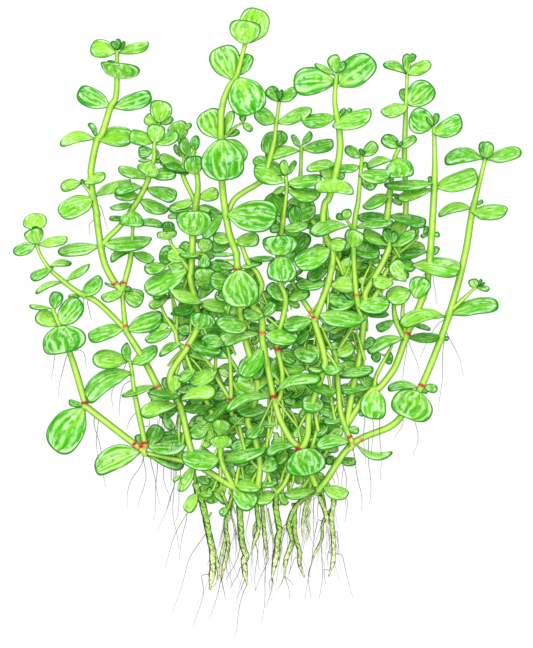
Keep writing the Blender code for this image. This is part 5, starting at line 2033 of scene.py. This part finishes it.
        (48, 103, 58.2, 103.5, 3.8, "Ds"), (46.4, 102.8, 34.9, 97.8, 4.2, "Vfa"),
        (33.5, 99, 36, 103, 2.6, "Db"), (42, 98.5, 41, 94.3, 3, "Db"), (38.5, 98, 36, 95.5, 3, "Db"),
        (37, 85.6, 35.8, 75.9, 7.8, "Vf"), (32.5, 80.3, 32.3, 76.5, 2, "Gs"),
    ), ("foliage_right",)),
    LeafCluster("leaves_right_outer", ("stem_right_outer", "right_outer_spur"), (
        (73.5, 164.5, 73.3, 169.7, 3, "Ds"), (74.8, 164.5, 75.7, 169.6, 3.2, "Gf"),
        (69.7, 147, 58.8, 144.8, 3.4, "Lsa"), (69.4, 146, 81.1, 146.2, 4.8, "Vf"),
        (72, 148, 73.5, 149.8, 1.4, "Gs"), (60.8, 110.3, 46, 107.5, 4.2, "Lfa"),
        (60.2, 102.6, 61.8, 102.7, 1.6, "Db"), (50.8, 86.3, 41.4, 85.8, 2.8, "Gsa"),
        (53.3, 86.3, 57.8, 85.5, 2.8, "Gs"), (53, 84.6, 54.6, 84.6, 1.4, "Df"),
        (70.8, 120, 69.7, 123, 3.2, "Ls"), (71.5, 120, 75.6, 119.8, 1.8, "Gs"),
        (72, 121, 73, 123, 1.2, "Bs"), (72, 121, 74.2, 121.9, 1, "Bs"),
    )),
    LeafCluster("leaves_crown", (
        "runner_left", "left_crown_shoot", "stem_centre_tall", "stem_centre_slim", "stem_right_outer",
        "crown_middle_spur",
    ), (
        (-16.2, 61.8, -28.5, 62.4, 6.8, "Vf"), (-24.8, 59.4, -29.3, 51.1, 3.9, "Vf"),
        (-29.5, 56, -32, 54.4, 1.6, "Ls"), (-24.3, 55, -19.5, 54.5, 3, "Gb"),
        (-15.8, 70, -15.7, 75.2, 5.6, "Ls"), (-16, 70.2, -16, 72.4, 2, "Bs"),
        (-15.7, 65.5, -15.7, 69.8, 7, "Lf"), (-19, 66.5, -22.2, 66.8, 2.4, "Ls"),
        (-12.8, 70, -11, 72.5, 2.4, "Db"), (-23.5, 49.3, -27.2, 44, 3.8, "Ls"),
        (-22.8, 49, -18.5, 49.8, 2.4, "Ls"), (-18.5, 52, -16.5, 53.8, 2, "Gb"),
        (-20.5, 50.3, -19, 52, 1.8, "Db"), (-10.4, 53.6, -1.9, 52.8, 5.2, "Ls"),
        (-11.5, 51.5, -4.6, 45.9, 6.6, "Vf"), (28.6, 73, 31.2, 71.4, 2.2, "Ms"),
        (28.2, 67.4, 17.2, 66, 3.8, "Vfa"), (30.8, 66.3, 42.2, 64.3, 2.1, "Vsh"),
        (26, 60, 30.1, 61, 2.7, "Db"), (22.5, 63, 20.5, 60.2, 2.2, "Db"),
        (20.1, 51.2, 27.3, 49.6, 4.3, "Lf"), (16.6, 51.3, 6.2, 50, 4.2, "Ls"),
        (17, 52, 13.2, 51.8, 2, "Gb"), (3, 50, -4, 47.8, 4.4, "Ls"),
        (-25.4, 100.3, -15.6, 99.1, 5.6, "Mb"), (-1.8, 52.6, 3.6, 54.4, 3, "Gs"),
        (4.5, 49.8, 6.8, 46.4, 2.6, "Ls"), (-13, 45, -15.9, 42.9, 2.6, "Gs"),
        (-21, 47.9, -17.9, 47.6, 1.2, "Ls"), (-17.5, 49.8, -15.8, 47.8, 1.4, "Ls"),
        (-16.2, 48.8, -14.2, 46.5, 1.2, "Ls"),
    )),
)
RED_SPOTS = (
    (-51.3, 122), (-48.5, 121.8), (-10.2, 126.4), (14.6, 111.5), (16.2, 109.9), (30.4, 117.5),
    (-48.4, 107), (-36.9, 86.5), (-62, 81), (-26.7, 100.5), (-12.4, 82.2), (-1.8, 104.8), (2.2, 83.4),
    (3.5, 99.3), (47.7, 104.4), (52.6, 86.8), (-45.2, 66.8), (-43.6, 65.4), (-41.6, 67.4), (-41.3, 65.6),
    (10.4, 66), (11.4, 64.8), (28.2, 69.5), (29.2, 67.4), (31.8, 68.4),
)
HAIR_TUFTS = (
    HairRoots("hair_roots_of_base", (
        ((-26.2, 27.8), (-31.9, 9.5)), ((-22, 22), (-22, 15.5), (-25, 4.2)),
        ((-15.1, 22.4), (-19.7, 6.2)), ((-7.9, 20.2), (-9.9, 14.3)), ((-8.4, 15), (-11.2, 0.3)),
        ((-0.4, 29), (-0.6, 17), (-1.8, 6)), ((1.3, 15.5), (-0.4, 10.8)), ((5.8, 21.5), (3.3, 16.3)),
        ((-9.4, 31), (-11.1, 25.5), (-14, 20)), ((-9.3, 24.6), (-9.9, 22), (-12.6, 17.3)),
        ((-3, 29), (-4.3, 21), (-4.2, 16.5)), ((-1.2, 23.7), (-3.7, 16.8)), ((-32.5, 33), (-34.8, 24)),
        ((-27.2, 44.2), (-27.6, 40), (-29.7, 31.5), (-30.2, 27)), ((-32, 46.5), (-30.7, 33.7), (-30, 31)),
        ((-29.8, 48), (-31.4, 40)), ((-31.6, 52), (-37.3, 37.4)), ((-38, 46.5), (-39, 40.8)),
        ((27, 48), (27, 40)), ((32, 49.5), (32.3, 43)), ((25.8, 28.7), (28.2, 17.5), (29.4, 14)),
        ((18.9, 31), (18.6, 20), (17.9, 13)), ((15, 25.5), (14.2, 22.2), (15.1, 14)),
        ((9.6, 28), (7.1, 22.3)), ((16.2, 48), (15.6, 38), (16.2, 34)), ((17.2, 46), (17.6, 41)),
        ((1, 48.3), (-0.4, 44.3), (2.4, 33)), ((-5.4, 45), (-6.9, 40), (-7.2, 36), (-5.8, 32)),
        ((11.4, 46), (11.2, 38)), ((7.8, 17), (7.7, 13.8)), ((8, 19.8), (8.9, 18.3)),
        ((14.3, 22.3), (15.2, 20.8)), ((2.2, 19.6), (2.7, 18.5)), ((0.8, 20), (0.7, 16.5)),
        ((-19.9, 27), (-20.4, 25)), ((-18.5, 18), (-17.2, 19.4)), ((19.5, 24), (19.8, 19)),
        ((21, 30), (20.6, 25)), ((24, 37), (24.1, 29)),
        ((-13.3, 63.2, 19), (-14.3, 58.1, 18), (-15.3, 51.3, 14)),
        ((17.3, 41.1, 6), (16.0, 32.6, 4), (14.3, 22.4, 1), (13.3, 13.9, 0.3)),
    ), ("hair_roots_bottom",), 100),
    HairRoots("hair_roots_of_left", (
        ((-72.5, 96), (-73.8, 88.5)), ((-69.2, 94.5), (-71.5, 82)), ((-62.6, 98.5), (-62, 92.5)),
        ((-49.5, 86), (-50.3, 76.5)), ((-52.5, 85), (-52.8, 79.5)),
        ((-57, 148), (-55.5, 144.5), (-54.3, 140)), ((-60.2, 142), (-61, 138.5)),
        ((-62.5, 115), (-63, 109.5)), ((-61, 115.5), (-60.3, 109)),
        ((-58.8, 74), (-56.8, 64), (-55.2, 52)), ((-46, 76), (-48, 71.5)),
        ((-42, 62.5), (-43.5, 59), (-46, 55), (-47.5, 50), (-48, 44.5)),
        ((-42, 62.5), (-41.5, 58), (-41.8, 54), (-44, 45)), ((-39.5, 60), (-36.3, 46)),
        ((-35, 55), (-33, 47)), ((-31, 75), (-32.9, 60), (-32.8, 52.5)), ((-31.5, 53), (-34.5, 44.5)),
        ((-35, 78), (-35.6, 64)), ((-40.5, 73), (-40, 76)), ((-37.2, 73.5), (-37.3, 77)),
        ((-58.3, 69.0, 7.5), (-57.8, 64.9, 7.2), (-56.8, 60.5, 6.8), (-55.9, 56.1, 6)),
        ((-35.4, 80.2, 11), (-35.5, 75.1, 10.5), (-36.0, 68.3, 10), (-36.2, 62.9, 9)),
        ((-30.3, 79.2, 12), (-30.9, 73.4, 12), (-32.3, 65.6, 11), (-32.8, 54.7, 8)),
    ), ("hair_roots_left",)),
    HairRoots("hair_roots_of_right", (
        ((48.5, 101), (51, 96), (52, 90.5)), ((47.5, 101), (46.5, 88)),
        ((60, 109), (56.5, 105.5), (52.5, 96)), ((60.3, 101), (58.8, 78)),
        ((64, 99), (66.5, 94.5), (67.2, 90)), ((56.5, 125), (57.3, 121), (57.6, 114.5)),
        ((46.3, 74), (43.5, 69)), ((51.3, 70), (50, 62.5)), ((29.5, 66), (29.3, 60)),
        ((26.8, 55), (27, 45)), ((26.3, 59), (25.2, 52.5)), ((35.3, 50), (35.2, 46)),
        ((17.3, 50.5), (16, 48), (13, 46.5)), ((23.8, 57), (24.2, 53)), ((22.5, 55.5), (23, 53)),
        ((53.6, 124.8, 16), (50, 117.6, 15), (49.1, 115.3, 14)),
        ((33, 76, 15.4), (33, 70, 16.4), (33.2, 60, 12)),
        ((35.8, 75, 15.4), (35.8, 70, 16.2), (35.7, 63, 13)),
        ((38.2, 75.5, 15), (38.5, 70, 15.6), (38.7, 62, 12), (39, 54, 3)),
    ), ("hair_roots_right",)),
)
BACK_LEAVES = (
    BackLeaves("back_leaves_left", (
        ("stem_left_centre", 142, 60, 7.5), ("left_middle_shoot", 132, 120, 6),
        ("left_low_shoot", 112, 98, 6), ("left_low_back_shoot", 118, 104, 6),
        ("left_crown_shoot", 98, 52, 7), ("stem_left_lower", 90, 82, 6),
    )),
    BackLeaves("back_leaves_centre", (
        ("stem_centre_tall", 128, 54, 8), ("stem_centre_front", 130, 60, 8),
        ("stem_right_tall", 150, 68, 8), ("stem_centre_short", 150, 82, 7),
        ("centre_left_back_shoot", 104, 54, 7), ("centre_left_shoot", 102, 76, 6),
        ("crown_pale_strips_middle", 64, 51, 5), ("crown_pale_strips_right", 66, 51, 5),
        ("crown_wide_strip", 66, 52, 5),
    )),
    BackLeaves("back_leaves_right", (
        ("stem_right_short", 140, 84, 7.5), ("stem_centre_slim", 140, 70, 7),
        ("stem_right_inner", 142, 110, 7), ("stem_right_back", 136, 114, 6),
    )),
)
OPENINGS = (
    (-35.6, 99.5, 4), (-34.6, 93.5, 4), (37.8, 66.7, 4), (22.5, 147, 2.6), (37.2, 105.2, 3.2),
    (31.8, 74.8, 2.4), (-4.1, 133.1, 2.4), (-7.8, 169.3, 2.4), (15.5, 115.7, 2.2), (1.8, 154.6, 2),
    (15, 136.5, 2), (-1.4, 124.7, 1.6), (27.5, 151.6, 2.2), (9.9, 112.8, 1.8), (35.3, 94.7, 2),
    (39.6, 118.2, 1.6), (-29.4, 137.7, 2.6), (-40.2, 123.5, 2.4), (-4, 99.9, 1.3), (-8.9, 97.7, 1.3),
    (13.2, 125.7, 1.4), (24.9, 138.4, 1.6), (17.8, 150.1, 1.4), (-3.5, 157.7, 1.4), (-30.9, 73.9, 2),
    (-33.3, 113.8, 1.4), (-41.8, 89.2, 1.6), (23.8, 88.4, 3), (32, 79, 2.4),
)


def build_stems(
    stems: tuple[Stalk, ...] | tuple[RootingStem, ...], others: str, finish: Finish, slot: str
) -> None:
    """Build each stem that has a solid as a piece, and all the others as one more.

    Args:
        stems: The stems.
        others: What the piece with the others is called.
        finish: What the stems are covered with.
        slot: The name of the record's slot for their finish.
    """
    rest = Shaper(others)
    for stem in stems:
        if stem.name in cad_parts:
            shaper = Shaper(f"{stem.name}_stalk")
            stem.add_to(shaper)
            shaper.finish((finish,), slot, (stem.name,))
        else:
            stem.add_to(rest)
    rest.finish((finish,), slot, ())


def main() -> None:
    """Build every piece in order."""
    logging.basicConfig(level=logging.INFO, format="%(name)s %(message)s")
    thicket = Thicket(STALKS)
    for piece in (*BROAD_LEAVES, *CLUSTERS, *BACK_LEAVES):
        piece.build(thicket)
    build_stems(STALKS, "side_shoots", StalkFinish(), "stem")
    build_stems(ROOTING_STEMS, "small_rooting_stems", RootingFinish(), "root")
    for tuft in HAIR_TUFTS:
        tuft.build(thicket)
    Studio().build()


if __name__ == "__main__":
    main()
